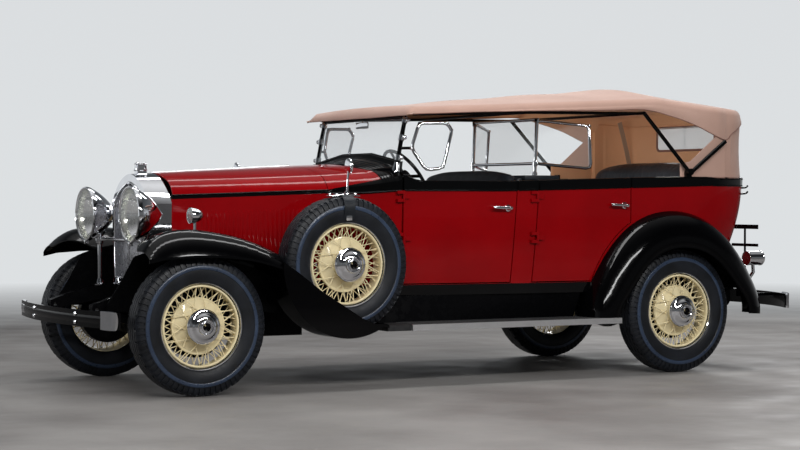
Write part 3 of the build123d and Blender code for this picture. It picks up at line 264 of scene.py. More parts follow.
bodyPaint("tub", beltLine, 0.606)
bodyPaint("hoodSide", [(frontX + 0.023, 1.136), (frontX + 0.958, 1.172)], 0.1)
bodyPaint("cowl", [(frontX + 0.95, 1.174), (frontX + 1.2, 1.176), (cowlRearX, 1.193)], 0.606,
          dict(beltX=(frontX + 0.958, frontX + 1.302), beltZ=(1.196, 1.262), acrossY=(0.25, 0.6),
               boundX=(frontX + 1.222, frontX + 1.3)))
for name, (color, shade) in fabric.items():  # woven canvas with slubs, stains and soft creases
    n = Finish(name + "Cloth", sheen=0.25, sheenRough=0.5, specular=0.12, rough=0.9)
    stain = n.mix(n.cloud(2.2, 5, 0.3, 0.72), shade, color)
    fine = n.mix(n.cloud(190, 3), tuple(c * 0.82 for c in color), color)
    n.join(n.mix(0.35, stain, fine, "MULTIPLY"), "Base Color")
    n.bump(n.cloud(7, 4, 0, 1), 0.12, 0.02)
    n.bump(n.group(weave, stretch=(1, 0.85, 1)), 0.35, 0.0006)
    materials[name] = n.material

n = Finish("grilleMesh", metal=1.0)
# Square cells: bright wire round each and near black inside, a painted shade for the openings, which the bump also
# sinks
shadedHoles = n.span(n.texture("ShaderNodeTexVoronoi", 150, "Distance", feature="DISTANCE_TO_EDGE"), 0.12, 0.3)
shadedHoles.node.inputs[0].links[0].from_node.inputs["Randomness"].default_value = 0.0
n.join(n.mix(shadedHoles, (0.86, 0.85, 0.9), (0.03, 0.03, 0.035)), "Base Color")
n.join(n.cloud(40, 3, start=0.2, end=0.4), "Roughness")
n.bump(shadedHoles, -0.6, 0.001)
materials["mesh"] = n.material

# The raised band's bluish base colour is a painted bluish sheen, standing in for the reflection on the smooth band
for name, color, shade, gloss, rough in (("tyre", (0.004, 0.0048, 0.0065), (0.011, 0.013, 0.018), 0.3, 0.38),
                                         ("tyreBandPaintedSheen", (0.016, 0.027, 0.052), (0.03, 0.048, 0.086), 0.5, 0.24)):
    n = Finish(name + "Rubber", specular=gloss)
    n.join(n.mix(n.cloud(9, 5), color, shade), "Base Color")
    n.join(n.cloud(60, 4, start=rough, end=rough + 0.16), "Roughness")
    n.bump(n.cloud(700, 3, 0, 1), 0.12, 0.0004)
    materials[name] = n.material


def mottled(key, name, patches, shades, dulling=None, grain=None, **values):
    # A finish of two shades in patches, with cloudy roughness and a fine grain as (scale, strength, distance)
    n = Finish(name, **values)
    n.join(n.mix(n.cloud(**patches), *shades), "Base Color")
    if dulling:
        n.join(n.cloud(**dulling), "Roughness")
    if grain:
        n.bump(n.cloud(grain[0], 3, 0, 1), *grain[1:])
    materials[key] = n.material
    return n


mottled("rubber", "ribbedRubber", dict(scale=20, detail=4), ((0.012, 0.012, 0.013), (0.028, 0.027, 0.027)),
        grain=(500, 0.2, 0.0004), specular=0.3, rough=0.55)
n = mottled("leather", "darkLeather", dict(scale=5, detail=5), ((0.008, 0.01, 0.013), (0.02, 0.024, 0.03)),
            dict(scale=16, detail=4, low=0.3, high=0.75, start=0.32, end=0.52), specular=0.28)
pebbles = n.texture("ShaderNodeTexVoronoi", 260, "Distance", feature="DISTANCE_TO_EDGE")
n.bump(n.span(pebbles, 0.0, 0.25), 0.25, 0.0007)
mottled("reflector", "reflector", dict(scale=24, detail=4), ((0.74, 0.76, 0.66), (0.93, 0.94, 0.88)),
        dict(scale=40, start=0.16, end=0.3), metal=1.0)
mottled("wood", "varnishedWood", dict(scale=9, detail=6, stretch=(1, 14, 14)),
        ((0.1, 0.045, 0.02), (0.24, 0.12, 0.055)), dict(scale=40, start=0.28, end=0.42), coat=0.3, coatRough=0.15)
mottled("carpet", "carpetPile", dict(scale=300), ((0.01, 0.01, 0.011), (0.035, 0.033, 0.033)),
        grain=(500, 0.6, 0.002), rough=0.95, sheen=0.4, specular=0.1)
mottled("dial", "dialFace", dict(scale=30), ((0.74, 0.72, 0.64), (0.84, 0.82, 0.75)), rough=0.4)

for name, color, rough, alpha, flutes in (("glass", (0.8, 0.88, 0.92), 0.02, 0.14, 0),
                                          ("lens", (0.9, 0.91, 0.88), 0.08, 0.26, 13),
                                          ("ruby", (0.35, 0.01, 0.01), 0.12, 0.85, 0),
                                          ("celluloid", (0.86, 0.87, 0.86), 0.2, 0.72, 0)):
    n = Finish(name + "Pane", color=color, alpha=alpha, specular=0.6, coat=0.5, coatRough=0.02)
    n.join(n.cloud(6, 4, 0.3, 0.8, rough, rough + 0.04), "Roughness")
    if flutes:
        n.bump(n.texture("ShaderNodeTexWave", flutes, "Fac", bands_direction="Y"), 0.7, 0.004)
    materials[name] = n.material

n = Finish("mirrorGlass", color=(0.88, 0.9, 0.92), metal=1.0)
n.join(n.cloud(5, 3, start=0.01, end=0.03), "Roughness")
materials["mirror"] = n.material

cadFinish = dict(
    frame="chassis", engine="chassis", radiator_shell="chrome", radiator_core="mesh", cowl="cowl", tub="tub",
    floor_pan="carpet", front_fenders="black", rear_fenders="black", running_boards="rubber", splash_aprons="chassis",
    board_trims="aluminium", aprons="chassis", front_bumper="black", rear_bumper="black", headlamps="chrome",
    headlamp_lenses="lens", small_lamps="chrome", plate_bracket="black", front_axle="chassis",
    leaf_springs="chassis", rear_axle="chassis", fuel_tank="chassis", exhaust="iron", windshield_frame="black",
    tonneau_frame="chrome", glass_panes="glass", top_canvas="canvas", top_irons="black", front_seat="leather",
    rear_seat="leather", steering_column="black", steering_wheel="hardRubber", knuckle_left="chassis",
    knuckle_right="chassis", tie_rod="chassis", spare_tyres="tyre", spare_wheels="cream", spare_mirrors="chrome",
    hood_hinge="chrome", tyre="tyre", wheel="cream", door="tub", hood_side="hoodSide", hood_top="red")
for name, node in nodes.items():
    finish = cadFinish.get(name) or next(f for start, f in cadFinish.items() if name.startswith(start + "_"))
    node.data.materials.clear()
    node.data.materials.append(materials[finish])
    node.modifiers.new("crispEdges", "EDGE_SPLIT").split_angle = radians(32)
    node.data.polygons.foreach_set("use_smooth", [True] * len(node.data.polygons))
print("materials done")


# Shop tools: each adds to a bmesh, and finishPiece turns it into a piece
def finishPiece(bm, name, finish, body="root", crisp=35, closed=True):
    bmesh.ops.remove_doubles(bm, verts=bm.verts, dist=2e-6)
    if closed:
        bmesh.ops.recalc_face_normals(bm, faces=bm.faces)
    for edge in bm.edges:
        edge.smooth = len(edge.link_faces) != 2 or edge.calc_face_angle(0) < radians(crisp)
    for face in bm.faces:
        face.smooth = True
    mesh = bpy.data.meshes.new(name)
    bm.to_mesh(mesh)
    bm.free()
    piece = bpy.data.objects.new(name, mesh)
    bpy.context.scene.collection.objects.link(piece)
    for one in finish if isinstance(finish, (list, tuple)) else [finish]:
        mesh.materials.append(materials[one])
    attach(piece, body)
    return piece


def applyModifiers(piece):
    mesh = bpy.data.meshes.new_from_object(piece.evaluated_get(bpy.context.evaluated_depsgraph_get()))
    piece.modifiers.clear()
    piece.data = mesh


def painted(bm, before, slot):  # gives the faces made since a count a material slot
    for face in list(bm.faces)[before:]:
        face.material_index = slot


def lathe(bm, profile, place, way, steps):
    # Spins a profile of (along, radius) points round an axis
    axis = Vector(way).normalized()
    side = Vector((0, 0, 1) if abs(axis.z) < 0.9 else (1, 0, 0))
    side = (side - axis * axis.dot(side)).normalized()
    verts = [bm.verts.new(Vector(place) + axis * along + side * radius) for along, radius in profile]
    edges = [bm.edges.new(pair) for pair in zip(verts, verts[1:])]
    bmesh.ops.spin(bm, geom=verts + edges, cent=place, axis=axis, dvec=(0, 0, 0), angle=2 * pi, steps=steps,
                   use_merge=True, use_duplicate=False)


def frames(path, up, scales, closed):  # places along a path for a section to pass through
    out, normal = [], None
    for i, point in enumerate(path):
        before = path[i - 1] if i or closed else point
        after = path[(i + 1) % len(path)] if i + 1 < len(path) or closed else point
        way = (after - before).normalized()
        normal = Vector(up) if normal is None else normal
        normal = normal - way * normal.dot(way)
        normal = normal.normalized() if normal.length > 1e-4 else way.orthogonal().normalized()
        across = way.cross(normal)
        turn = Matrix((across, normal, way)).transposed().to_4x4()
        out.append(Matrix.Translation(point) @ turn @ Matrix.Scale(scales[i] if scales else 1, 4))
    return out


def sweep(bm, path, section, up=(0, 0, 1), closed=False, scales=None):
    # Extrudes a section of (across, up) points, or a round one, along a path
    if isinstance(section, float):
        section = [(section * cos(2 * pi * k / 12), section * sin(2 * pi * k / 12)) for k in range(12)]
    path = [Vector(p) for p in path]
    places = frames(path, up, scales, closed)
    ring = [bm.verts.new(places[0] @ Vector((a, u, 0))) for a, u in section]
    edges = [bm.edges.new((ring[i - 1], ring[i])) for i in range(len(ring))]
    if not closed:
        bm.faces.new(ring)
    for here, there in zip(places, places[1:] + (places[:1] if closed else [])):
        grown = bmesh.ops.extrude_edge_only(bm, edges=edges)["geom"]
        ring = [g for g in grown if isinstance(g, bmesh.types.BMVert)]
        new = set(ring)
        edges = [g for g in grown if isinstance(g, bmesh.types.BMEdge) and set(g.verts) <= new]
        bmesh.ops.transform(bm, matrix=there @ here.inverted(), verts=ring)
    if not closed:
        bmesh.ops.edgeloop_fill(bm, edges=edges)


def bend(a, b, c, d, t):  # a point between b and c, at t from 0 to 1, on a smooth curve through all four
    return 0.5 * (2 * b + (c - a) * t + (2 * a - 5 * b + 4 * c - d) * t * t + (c * -3 + b * 3 - a + d) * t ** 3)


def smoothLine(points, per, closed=False):  # points on a smooth curve through the given ones
    pts = [Vector(p) for p in points]
    out = []
    for i in range(len(pts) if closed else len(pts) - 1):
        b, c = pts[i], pts[(i + 1) % len(pts)]
        a = pts[i - 1] if closed or i else b * 2 - c
        d = pts[(i + 2) % len(pts)] if closed or i + 2 < len(pts) else c * 2 - b
        out += [bend(a, b, c, d, k / per) for k in range(per)]
    return out if closed else out + [pts[-1]]


def block(bm, low, high, bevel=0.0, segments=2, turn=None):  # box with rounded edges between two corners
    size = [h - l for l, h in zip(low, high)]
    middle = Matrix.Translation([(h + l) / 2 for l, h in zip(low, high)])
    verts = bmesh.ops.create_cube(bm, size=1, matrix=middle @ (turn or Matrix()) @ Matrix.Diagonal((*size, 1)))["verts"]
    if bevel:
        edges = list({edge for vert in verts for edge in vert.link_edges})
        bmesh.ops.bevel(bm, geom=edges, offset=bevel, offset_type="OFFSET", segments=segments, profile=0.5,
                        affect="EDGES", material=-1)


def ball(bm, place, radius):
    bmesh.ops.create_uvsphere(bm, u_segments=20, v_segments=12, radius=radius, matrix=Matrix.Translation(place))


def bothSides(bm):  # mirrors everything across the car's middle
    bmesh.ops.mirror(bm, geom=list(bm.verts) + list(bm.edges) + list(bm.faces), axis="Y", merge_dist=-1.0)


def spread(bm, across, along, place):  # a grid whose points go where place(u, v) says
    for vert in bmesh.ops.create_grid(bm, x_segments=across, y_segments=along, size=0.5)["verts"]:
        vert.co = Vector(place(vert.co.x + 0.5, vert.co.y + 0.5))


# Tyres and wire wheels: made once facing left, then set at each hub
wheelSizes = dict(lugs=136, spokePairs=30, longSpokes=20, spokeRadius=0.0029, capAt=0.056, bandInner=0.327,
                  bandOuter=0.3515)


def turned(bm, profile, steps, shift=0.0):  # lathes a wheel's profile, moved out along the axle
    lathe(bm, [(along + shift, radius) for along, radius in profile], (0, 0, 0), (0, -1, 0), steps)


def tyreMaster():
    bm = bmesh.new()
    side = [(0.05, 0.244), (0.06, 0.245), (0.068, 0.25), (0.0725, 0.256), (0.0755, 0.259), (0.078, 0.266),
            (0.083, 0.282), (0.0865, 0.3), (0.0875, 0.318), (0.0868, 0.3255), (0.0892, 0.3285), (0.0905, 0.334),
            (0.09, 0.344), (0.088, 0.349), (0.085, 0.3512), (0.0842, 0.3545), (0.0822, 0.366), (0.0785, 0.379),
            (0.0725, 0.3905), (0.065, 0.3985), (0.062, 0.4005), (0.059, 0.403), (0.048, 0.404), (0.0465, 0.3975),
            (0.0405, 0.3975), (0.039, 0.4042), (0.019, 0.4048), (0.0175, 0.398), (0.0115, 0.398), (0.01, 0.4049)]
    turned(bm, side + [(-a, r) for a, r in side[::-1]] + side[:1], wheelSizes["lugs"])
    grooves, cuts = [], []
    for face in bm.faces:
        middle = face.calc_center_median()
        radius, column = middle.xz.length, round(atan2(middle.x, middle.z) / (2 * pi) * wheelSizes["lugs"] - 0.5)
        # faces on the raised band take the second finish, whose bluish colour is a painted sheen
        if wheelSizes["bandInner"] < radius < wheelSizes["bandOuter"]:
            face.material_index = 1
        if 0.3548 < radius < 0.4 and abs(middle.y) > 0.064 and column % 2:
            grooves.append(face)
        elif radius > 0.4 and 0.048 < abs(middle.y) and column % 4 == 1:
            cuts.append(face)
    bmesh.ops.inset_region(bm, faces=grooves + cuts, thickness=0.0012, depth=-0.0065, use_even_offset=True,
                           use_boundary=True)
    for vert in bm.verts:  # the tread's ribs run in a zigzag
        if vert.co.xz.length > 0.3965 and abs(vert.co.y) < 0.049:
            column = round(atan2(vert.co.x, vert.co.z) / (2 * pi) * wheelSizes["lugs"])
            vert.co.y += 0.0028 * (1 if column // 2 % 2 else -1)
    return bm


def wheelMaster():
    bm = bmesh.new()
    turned(bm, [(-0.058, 0.245), (-0.06, 0.244), (-0.06, 0.24), (-0.052, 0.238), (-0.036, 0.235),
                (-0.022, 0.23),
               (0.012, 0.228), (0.034, 0.2265), (0.052, 0.225), (0.06, 0.2262), (0.064, 0.2295), (0.0645, 0.2345),
               (0.0615, 0.2385), (0.056, 0.24), (0.05, 0.2405), (0.048, 0.244), (-0.05, 0.244),
               (-0.058, 0.245)],
          72)  # rim
    turned(bm, [(-0.012, 0.06), (-0.01, 0.15), (0.000, 0.166), (0.012, 0.1675), (0.019, 0.166), (0.0205, 0.16),
               (0.019, 0.154), (0.026, 0.136), (0.04, 0.11), (0.054, 0.095), (0.09, 0.086), (0.092, 0.06)],
          72)  # dished hub shell
    count = wheelSizes["spokePairs"]
    spokes = []  # radius, angle and place along the axle, at the hub and at the rim
    for i in range(count * 2):
        way, angle = (1, -1)[i % 2], 2 * pi * (i // 2) / count
        spokes.append((0.163, angle, 0.004 if way > 0 else -0.004, 0.228, angle + way * 0.15,
                       0.028 if way > 0 else -0.018))
    for i in range(wheelSizes["longSpokes"]):
        way, angle = (1, -1)[i % 2], 2 * pi * (i + 0.35) / wheelSizes["longSpokes"]
        spokes.append((0.094, angle, 0.056, 0.227, angle + way * 0.42, 0.044))
    for inner, a, u, outer, b, w in spokes:
        start, end = Vector((inner * sin(a), -u, inner * cos(a))), Vector((outer * sin(b), -w, outer * cos(b)))
        run = end - start
        turn = run.to_track_quat("Z", "Y").to_matrix().to_4x4()
        for place, length, low, high in (((start + end) / 2, run.length, wheelSizes["spokeRadius"],
                                          wheelSizes["spokeRadius"]),
                                         (end - run.normalized() * 0.008, 0.018, 0.003, 0.0048)):
            bmesh.ops.create_cone(bm, cap_ends=False, segments=6, radius1=low, radius2=high, depth=length,
                                  matrix=Matrix.Translation(place) @ turn)
    before = len(bm.faces)
    turned(bm, [(0.05, 0.244), (0.056, 0.245), (0.064, 0.2462), (0.069, 0.2478), (0.0715, 0.2505),
                (0.071, 0.2535),
               (0.068, 0.255), (0.064, 0.2535), (0.056, 0.25), (0.05, 0.244)],
          72)  # lock ring
    cap = [(0.03, 0.09), (0.036, 0.102), (0.042, 0.103), (0.0455, 0.1005), (0.0465, 0.096), (0.048, 0.0955),
           (0.0505, 0.0965), (0.053, 0.0945), (0.056, 0.0835), (0.064, 0.074), (0.073, 0.066), (0.079, 0.056),
           (0.0805, 0.05), (0.0835, 0.0495), (0.0875, 0.047), (0.0885, 0.043), (0.086, 0.0395), (0.08, 0.038),
           (0.08, 0.033), (0.087, 0.032), (0.0915, 0.0285), (0.0915, 0.025), (0.086, 0.023), (0.08, 0.0225)]
    turned(bm, cap, 64, wheelSizes["capAt"])  # stepped cap
    bmesh.ops.create_cone(bm, cap_ends=True, segments=8, radius1=0.0045, radius2=0.0035, depth=0.045,
                          matrix=Matrix.Translation((0.0, -0.05, -0.219)) @ Matrix.Rotation(radians(80), 4, "X"))
    painted(bm, before, 1)
    before = len(bm.faces)
    well = [(0.08, 0.0225), (0.074, 0.021), (0.072, 0.015), (0.072, 0.0001)]
    turned(bm, well, 32, wheelSizes["capAt"])
    painted(bm, before, 2)
    return bm


def setAtHub(master, name, finish, places, body):
    bm = bmesh.new()
    for place, side in places:
        before = set(bm.verts)
        bm.from_mesh(master)
        bmesh.ops.transform(bm, verts=[v for v in bm.verts if v not in before],
                            matrix=Matrix.Translation(place) @ Matrix.Rotation(pi if side > 0 else 0, 4, "Z"))
    return finishPiece(bm, name, finish, body, crisp=28)


masters = {}
for name, maker in (("tyre", tyreMaster), ("wheel", wheelMaster)):
    made = maker()
    masters[name] = bpy.data.meshes.new(name + "Master")
    made.to_mesh(masters[name])
    made.free()
# the tyres' second finish is the raised band's painted bluish sheen
finishes = dict(tyre=["tyre", "tyreBandPaintedSheen"], wheel=["cream", "chrome", "black"])
for end, x in (("front", frontX), ("rear", rearX)):
    for hand, side in sides.items():
        for kind in ("tyre", "wheel"):
            piece = setAtHub(masters[kind], f"{kind}Detail_{end}_{hand}", finishes[kind],
                             [((x, side * halfTrack, axleZ), side)], f"wheel_{end}_{hand}")
            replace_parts(piece, f"{kind}_{end}_{hand}")
spares = [((spareX, side * spareY, spareZ), side) for side in sides.values()]
for kind in ("tyre", "wheel"):
    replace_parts(setAtHub(masters[kind], f"spare{kind.capitalize()}Detail", finishes[kind], spares, "root"),
                f"spare_{kind}s")
for master in masters.values():
    bpy.data.meshes.remove(master)
print("wheels done")

# Canvas top: roof with its valance, back curtain, window, bindings and straps
roof = [(1.4, 0.69, 1.688, 1.712), (1.5, 0.697, 1.698, 1.728), (2.3, 0.735, 1.738, 1.808),
        (3.17, 0.774, 1.785, 1.88), (3.26, 0.778, 1.79, 1.892), (3.35, 0.78, 1.782, 1.882),
        (3.95, 0.79, 1.72, 1.802), (4.2, 0.79, 1.69, 1.755)]
valance = [(1.38, 1.652), (1.5, 1.662), (2.067, 1.688), (2.83, 1.71), (3.145, 1.722), (3.33, 1.692),
           (3.555, 1.632),
           (3.815, 1.532), (3.9, 1.58), (4.01, 1.634), (4.06, 1.648), (4.3, 1.65)]
quarterEdge = [(3.5, 1.292), (3.532, 1.3), (3.815, 1.526), (3.86, 1.6), (4.3, 1.6)]
canvasSizes = dict(thick=0.004, noseX=1.428, noseZ=1.655, noseRoll=0.026, spineEnd=3.45, curtainLow=1.283)
softRoof = [smoothLine([(row[0], 0, row[i]) for row in roof], 10) for i in (1, 2, 3)]
softRoof = [[(p.x, p.z) for p in line] for line in softRoof]
softValance = [(p.x, p.z) for p in smoothLine([(x, 0, z) for x, z in valance], 6)]


def roofHeight(x, y):  # top of the canvas over a place, with a slight sag between the bows
    width, turn, crown = (runAlong(line, x) for line in softRoof)
    across = min(abs(y) / (width - 0.055), 1.06)
    sag = 0.007 * sin(pi * (x - 1.5) / 0.585) ** 2 * (1 - across ** 2) if 1.5 < x < 3.84 else 0
    return crown - (crown - turn - 0.014) * across ** 2 - sag


def plan(t, inset=0.0):
    # Outline of the canvas from above: t runs 0 to 1 from the left front, round the back, to the right front
    side = -1 if t < 0.5 else 1
    s = 1 - abs(2 * t - 1)  # 0 at the front, 1 at the middle of the back
    if s < 0.62:
        x = canvasSizes["noseX"] + s / 0.62 * (3.82 - canvasSizes["noseX"])
        return Vector((x, side * (runAlong(softRoof[0], x) - inset), 0))
    corner = [(3.82, 0.7645), (3.93, 0.748), (4.018, 0.694), (4.068, 0.626), (4.088, 0.52), (4.092, 0.38),
              (4.091, 0.19),
              (4.09, 0.0)]
    k = (s - 0.62) / 0.38 * (len(corner) - 1)
    i = min(int(k), len(corner) - 2)
    line = [Vector((x, side * y, 0)) for x, y in corner]
    line = [Vector((3.7, side * 0.788, 0))] + line + [Vector((4.091, -side * 0.19, 0))]
    a, b, c, d = line[i:i + 4]
    point = bend(a, b, c, d, k - i)
    away = (point - Vector((3.6, 0, 0))).normalized()
    return point - away * inset


def inward(t):  # the point of the roof's spine that a place on the outline is drawn to
    place = plan(t)
    return Vector((min(place.x, canvasSizes["spineEnd"] + max(place.x - 3.45, 0) * 0.6), 0, 0))


def roofPoint(t, q):
    # q runs 0 to 0.34 up the valance, to 0.5 over the roll, and to 1 at the spine
    edge = plan(t)
    turn = runAlong(softRoof[1], edge.x)
    low = runAlong(softValance, edge.x)
    nose = min(max((edge.x - canvasSizes["noseX"]) / canvasSizes["noseRoll"], 0), 1)
    reach = (inward(t) - edge)
    way = reach.normalized()
    if q < 0.34:
        share = q / 0.34
        point = edge + way * (0.004 * share) + Vector((0, 0, low + (turn - 0.03 - low) * share))
        point -= way * 0.004 * sin(pi * share)
    elif q < 0.5:
        a = (q - 0.34) / 0.16 * pi / 2
        point = edge + way * (0.004 + 0.051 * (1 - cos(a)))
        point.z = turn - 0.03 + (roofHeight(edge.x, abs(edge.y) - 0.055) - turn + 0.03) * sin(a)
    else:
        share = (q - 0.5) / 0.5
        point = edge + way * (0.055 + (reach.length - 0.055) * share)
        point.z = roofHeight(point.x, point.y)
    if q > 0.34:  # the nose rolls down to a straight front edge
        point.z -= (point.z - canvasSizes["noseZ"]) * (1 - sqrt(1 - (1 - nose) ** 2))
    return (frontX + point.x, point.y, point.z + 0.0015 * noise.noise(Vector((point.x, point.y, point.z)) * 4))


def thicken(piece, thick, offset=-1):
    solid = piece.modifiers.new("thickness", "SOLIDIFY")
    solid.thickness, solid.offset, solid.material_offset, solid.use_even_offset = thick, offset, 1, True
    applyModifiers(piece)


def openSheet(bm, name, axis):  # the piece and its area, with the outside facing along an axis
    bmesh.ops.recalc_face_normals(bm, faces=bm.faces)
    if sum(face.normal[axis] for face in bm.faces) < 0:
        bmesh.ops.reverse_faces(bm, faces=bm.faces)
    piece = finishPiece(bm, name, ["canvas", "lining"], crisp=50, closed=False)
    return piece, sum(face.area for face in piece.data.polygons)


bm = bmesh.new()
spread(bm, 150, 34, roofPoint)
bmesh.ops.remove_doubles(bm, verts=bm.verts, dist=1e-4)
roofSheet, roofArea = openSheet(bm, "roofCanvas", 2)
thicken(roofSheet, canvasSizes["thick"])

# Back curtain and quarters, hung just inside the roof's edge
window = dict(half=0.332, low=1.486, high=1.652, corner=0.035)


def inWindow(y, z, grow=0.0):
    half, low, high, r = window["half"] + grow, window["low"] - grow, window["high"] + grow, window["corner"] + grow
    dy, dz = max(abs(y) - half + r, 0), max(abs(z - (low + high) / 2) - (high - low) / 2 + r, 0)
    return dy * dy + dz * dz < r * r


def curtainPoint(t, q):
    t = 0.262 + t * 0.476
    edge = plan(t, 0.006)
    high = min(runAlong(softRoof[1], edge.x) - 0.034, runAlong(quarterEdge, edge.x) + 0.09)
    low = canvasSizes["curtainLow"]
    z = low + (max(high, low + 0.004) - low) * q
    out = 0.01 * sin(pi * q) * (1 if edge.x > 3.9 else 0.3)
    away = (edge - Vector((3.6, 0, 0))).normalized()
    point = edge - away * out
    return (frontX + point.x, point.y, z + 0.0008 * noise.noise(Vector((point.y * 5, z * 5, 3))))


bm = bmesh.new()
spread(bm, 190, 44, curtainPoint)
hole = [f for f in bm.faces if f.calc_center_median().x > frontX + 4.0 and inWindow(*f.calc_center_median().yz)]
bmesh.ops.delete(bm, geom=hole, context="FACES")
curtain, curtainArea = openSheet(bm, "backCurtain", 0)
thicken(curtain, 0.003)


def surfaceX(y, z):  # the back of the curtain at a height
    spots = (curtainPoint(k / 400, (z - canvasSizes["curtainLow"]) / 0.4) for k in range(401))
    return min((abs(abs(p[1]) - abs(y)), p[0]) for p in spots)[1]


corners = []
for side, up, start in ((1, 1, 0), (-1, 1, 90), (-1, -1, 180), (1, -1, 270)):
    r = window["corner"]
    cy, cz = side * (window["half"] - r), (window["high"] - r) if up > 0 else (window["low"] + r)
    corners += [(cy + r * cos(radians(start + a)), cz + r * sin(radians(start + a))) for a in range(0, 91, 15)]
ring = []
for (ya, za), (yb, zb) in zip(corners, corners[1:] + corners[:1]):
    count = max(1, int(abs(yb - ya) / 0.06))
    ring += [(ya + (yb - ya) * i / count, za + (zb - za) * i / count) for i in range(count)]
bm = bmesh.new()
sweep(bm, [(surfaceX(y, z) + 0.0005, y, z) for y, z in ring],
      [(-0.008, -0.004), (0.008, -0.004), (0.009, 0.003), (0.004, 0.006), (-0.004, 0.006), (-0.009, 0.003)],
      up=(1, 0, 0), closed=True)
finishPiece(bm, "rearWindowBinding", "binding")
bm = bmesh.new()
spread(bm, 25, 9, lambda u, v: (surfaceX((u - 0.5) * 0.654, 1.57) - 0.001, (u - 0.5) * 0.658,
                                window["low"] + (window["high"] - window["low"]) * v))
bmesh.ops.solidify(bm, geom=bm.faces, thickness=0.001)
finishPiece(bm, "rearWindowPane", "celluloid")

# Bindings: dark piping along the valance, the seam at the back, and the curtain's foot
piping = dict(radius=0.0032, welt=0.0045)
bm = bmesh.new()
edgeLine = [roofPoint(0.005 + 0.99 * k / 260, 0.002) for k in range(261)]
sweep(bm, [Vector(p) + Vector((0, 0, 0.002)) for p in edgeLine], piping["radius"])
finishPiece(bm, "valancePiping", "binding")
bm = bmesh.new()
sweep(bm, [Vector(curtainPoint(k / 120, 0.0)) for k in range(121)], piping["welt"])
for side in (-1, 1):
    first, last = quarterEdge[1][0], quarterEdge[2][0]
    xs = [first + (last - first) * k / 12 for k in range(13)]
    sweep(bm, [at(x, side * (runAlong(softRoof[0], x) - 0.004), runAlong(quarterEdge, x)) for x in xs],
          piping["radius"])
finishPiece(bm, "curtainBinding", "binding")
bm = bmesh.new()
for side in (-1, 1):  # webbing straps behind the rear seat, from a bow to the tub
    path = [at(3.935 + 0.027 * k + 0.006 * sin(pi * k / 4), side * 0.595, 1.7 - 0.1 * k) for k in range(5)]
    sweep(bm, path, [(-0.019, -0.001), (0.019, -0.001), (0.019, 0.001), (-0.019, 0.001)], up=(0, 1, 0))
finishPiece(bm, "rearStraps", "webbing")
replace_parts(roofSheet, "top_canvas")
print("canvas top done")

# Belt beads and the leather roll along the tub, each stretch on the body that carries it
trim = dict(bead=0.0055, roll=0.0125, step=0.04)
bandTop = [(1.43, 1.29), (1.468, 1.271), (1.543, 1.246), (2.112, 1.246), (3.115, 1.273), (3.607, 1.281), (4.3, 1.281)]
beltAt = [(x - frontX, z) for x, z in beltLine]


def alongSide(bm, start, end, height, out, section):
    count = max(2, int((end - start) / trim["step"]))
    xs = [start + (end - start) * k / count for k in range(count + 1)]
    sweep(bm, [at(x, -halfWidth(frontX + x) - out, runAlong(height, x)) for x in xs], section)


for hand, side in sides.items():
    for name, body, start, end in ((f"beltFrontDoor_{hand}", f"door_front_{hand}", 1.4375, 2.2065),
                                   (f"beltRearDoor_{hand}", f"door_rear_{hand}", 2.3605, 3.0445),
                                   (f"beltPillar_{hand}", "root", 2.2155, 2.3525),
                                   (f"beltRear_{hand}", "root", 3.0535, 3.6)):
        bm = bmesh.new()
        alongSide(bm, start, end, beltAt, 0.0035, trim["bead"])
        alongSide(bm, start, end, [(x, z - 0.004) for x, z in bandTop], -0.01, trim["roll"])
        if side > 0:
            bmesh.ops.scale(bm, vec=(1, -1, 1), verts=bm.verts)
        finishPiece(bm, name, "black", body)
tailX = rearX + 0.75


def tailLine(z, out):  # plan of the tub's tail at belt height
    half = [(rearX + 0.19, halfWidth(rearX + 0.19)), (rearX + 0.391, 0.767), (rearX + 0.592, 0.7),
            (rearX + 0.679, 0.616), (tailX - 0.033, 0.48), (tailX - 0.008, 0.24)]
    line = [(x, -y, z) for x, y in half] + [(tailX, 0, z)] + [(x, y, z) for x, y in half[::-1]]
    return [p + Vector((0.4, p.y, 0)).normalized() * out for p in smoothLine(line, 6)]


bm = bmesh.new()
sweep(bm, tailLine(1.231, 0.0035), trim["bead"])
sweep(bm, tailLine(1.276, -0.004), trim["roll"])
alongSide(bm, 0.962, 1.4265, [(0.962, 1.174), (1.2, 1.176), (1.43, 1.193)], 0.0015, trim["bead"])
bothSides(bm)
hood = dict(startX=0.022, length=0.936, frontHalf=0.33, rearHalf=halfWidth(frontX + 0.958))


def hoodHalf(share):  # half width of the hood at a share of its length
    return hood["frontHalf"] + (hood["rearHalf"] - hood["frontHalf"]) * share


for side in (-1, 1):
    sweep(bm, [at(0.023 + 0.933 * k / 12, side * (hoodHalf(k / 12) + 0.001), 1.16 + 0.033 * k / 12)
               for k in range(13)], 0.005)
finishPiece(bm, "beltBeads", "black")


# Cowl: black ribs that arch over it in front of the windshield
def cowlArch(x, out=0.0, lean=0.0):
    line = []
    for w, h in ((1, 0), (0.93, 0.34), (0.76, 0.64), (0.4, 0.9), (0, 1)):
        place = x + lean * w * w
        shoulder = 1.193 + 0.06 * (place - 0.958) / 0.472
        crown = runAlong([(0.958, 1.349), (1.25, 1.362), (1.43, 1.408)], place) + out
        line.append((frontX + place, -(halfWidth(frontX + place) + out) * w, shoulder + (crown - shoulder) * h))
    return smoothLine(line + [(a, -b, c) for a, b, c in line[-2::-1]], 6)


bm = bmesh.new()
for x, radius, lean in ((1.232, 0.006, 0.078), (1.262, 0.0035, 0.066), (1.292, 0.0035, 0.054), (1.322, 0.0035, 0.042),
                        (1.352, 0.0035, 0.03), (1.418, 0.007, 0.0)):
    sweep(bm, cowlArch(x, -0.001, lean), radius, up=(1, 0, 0))
finishPiece(bm, "cowlRibs", "black")

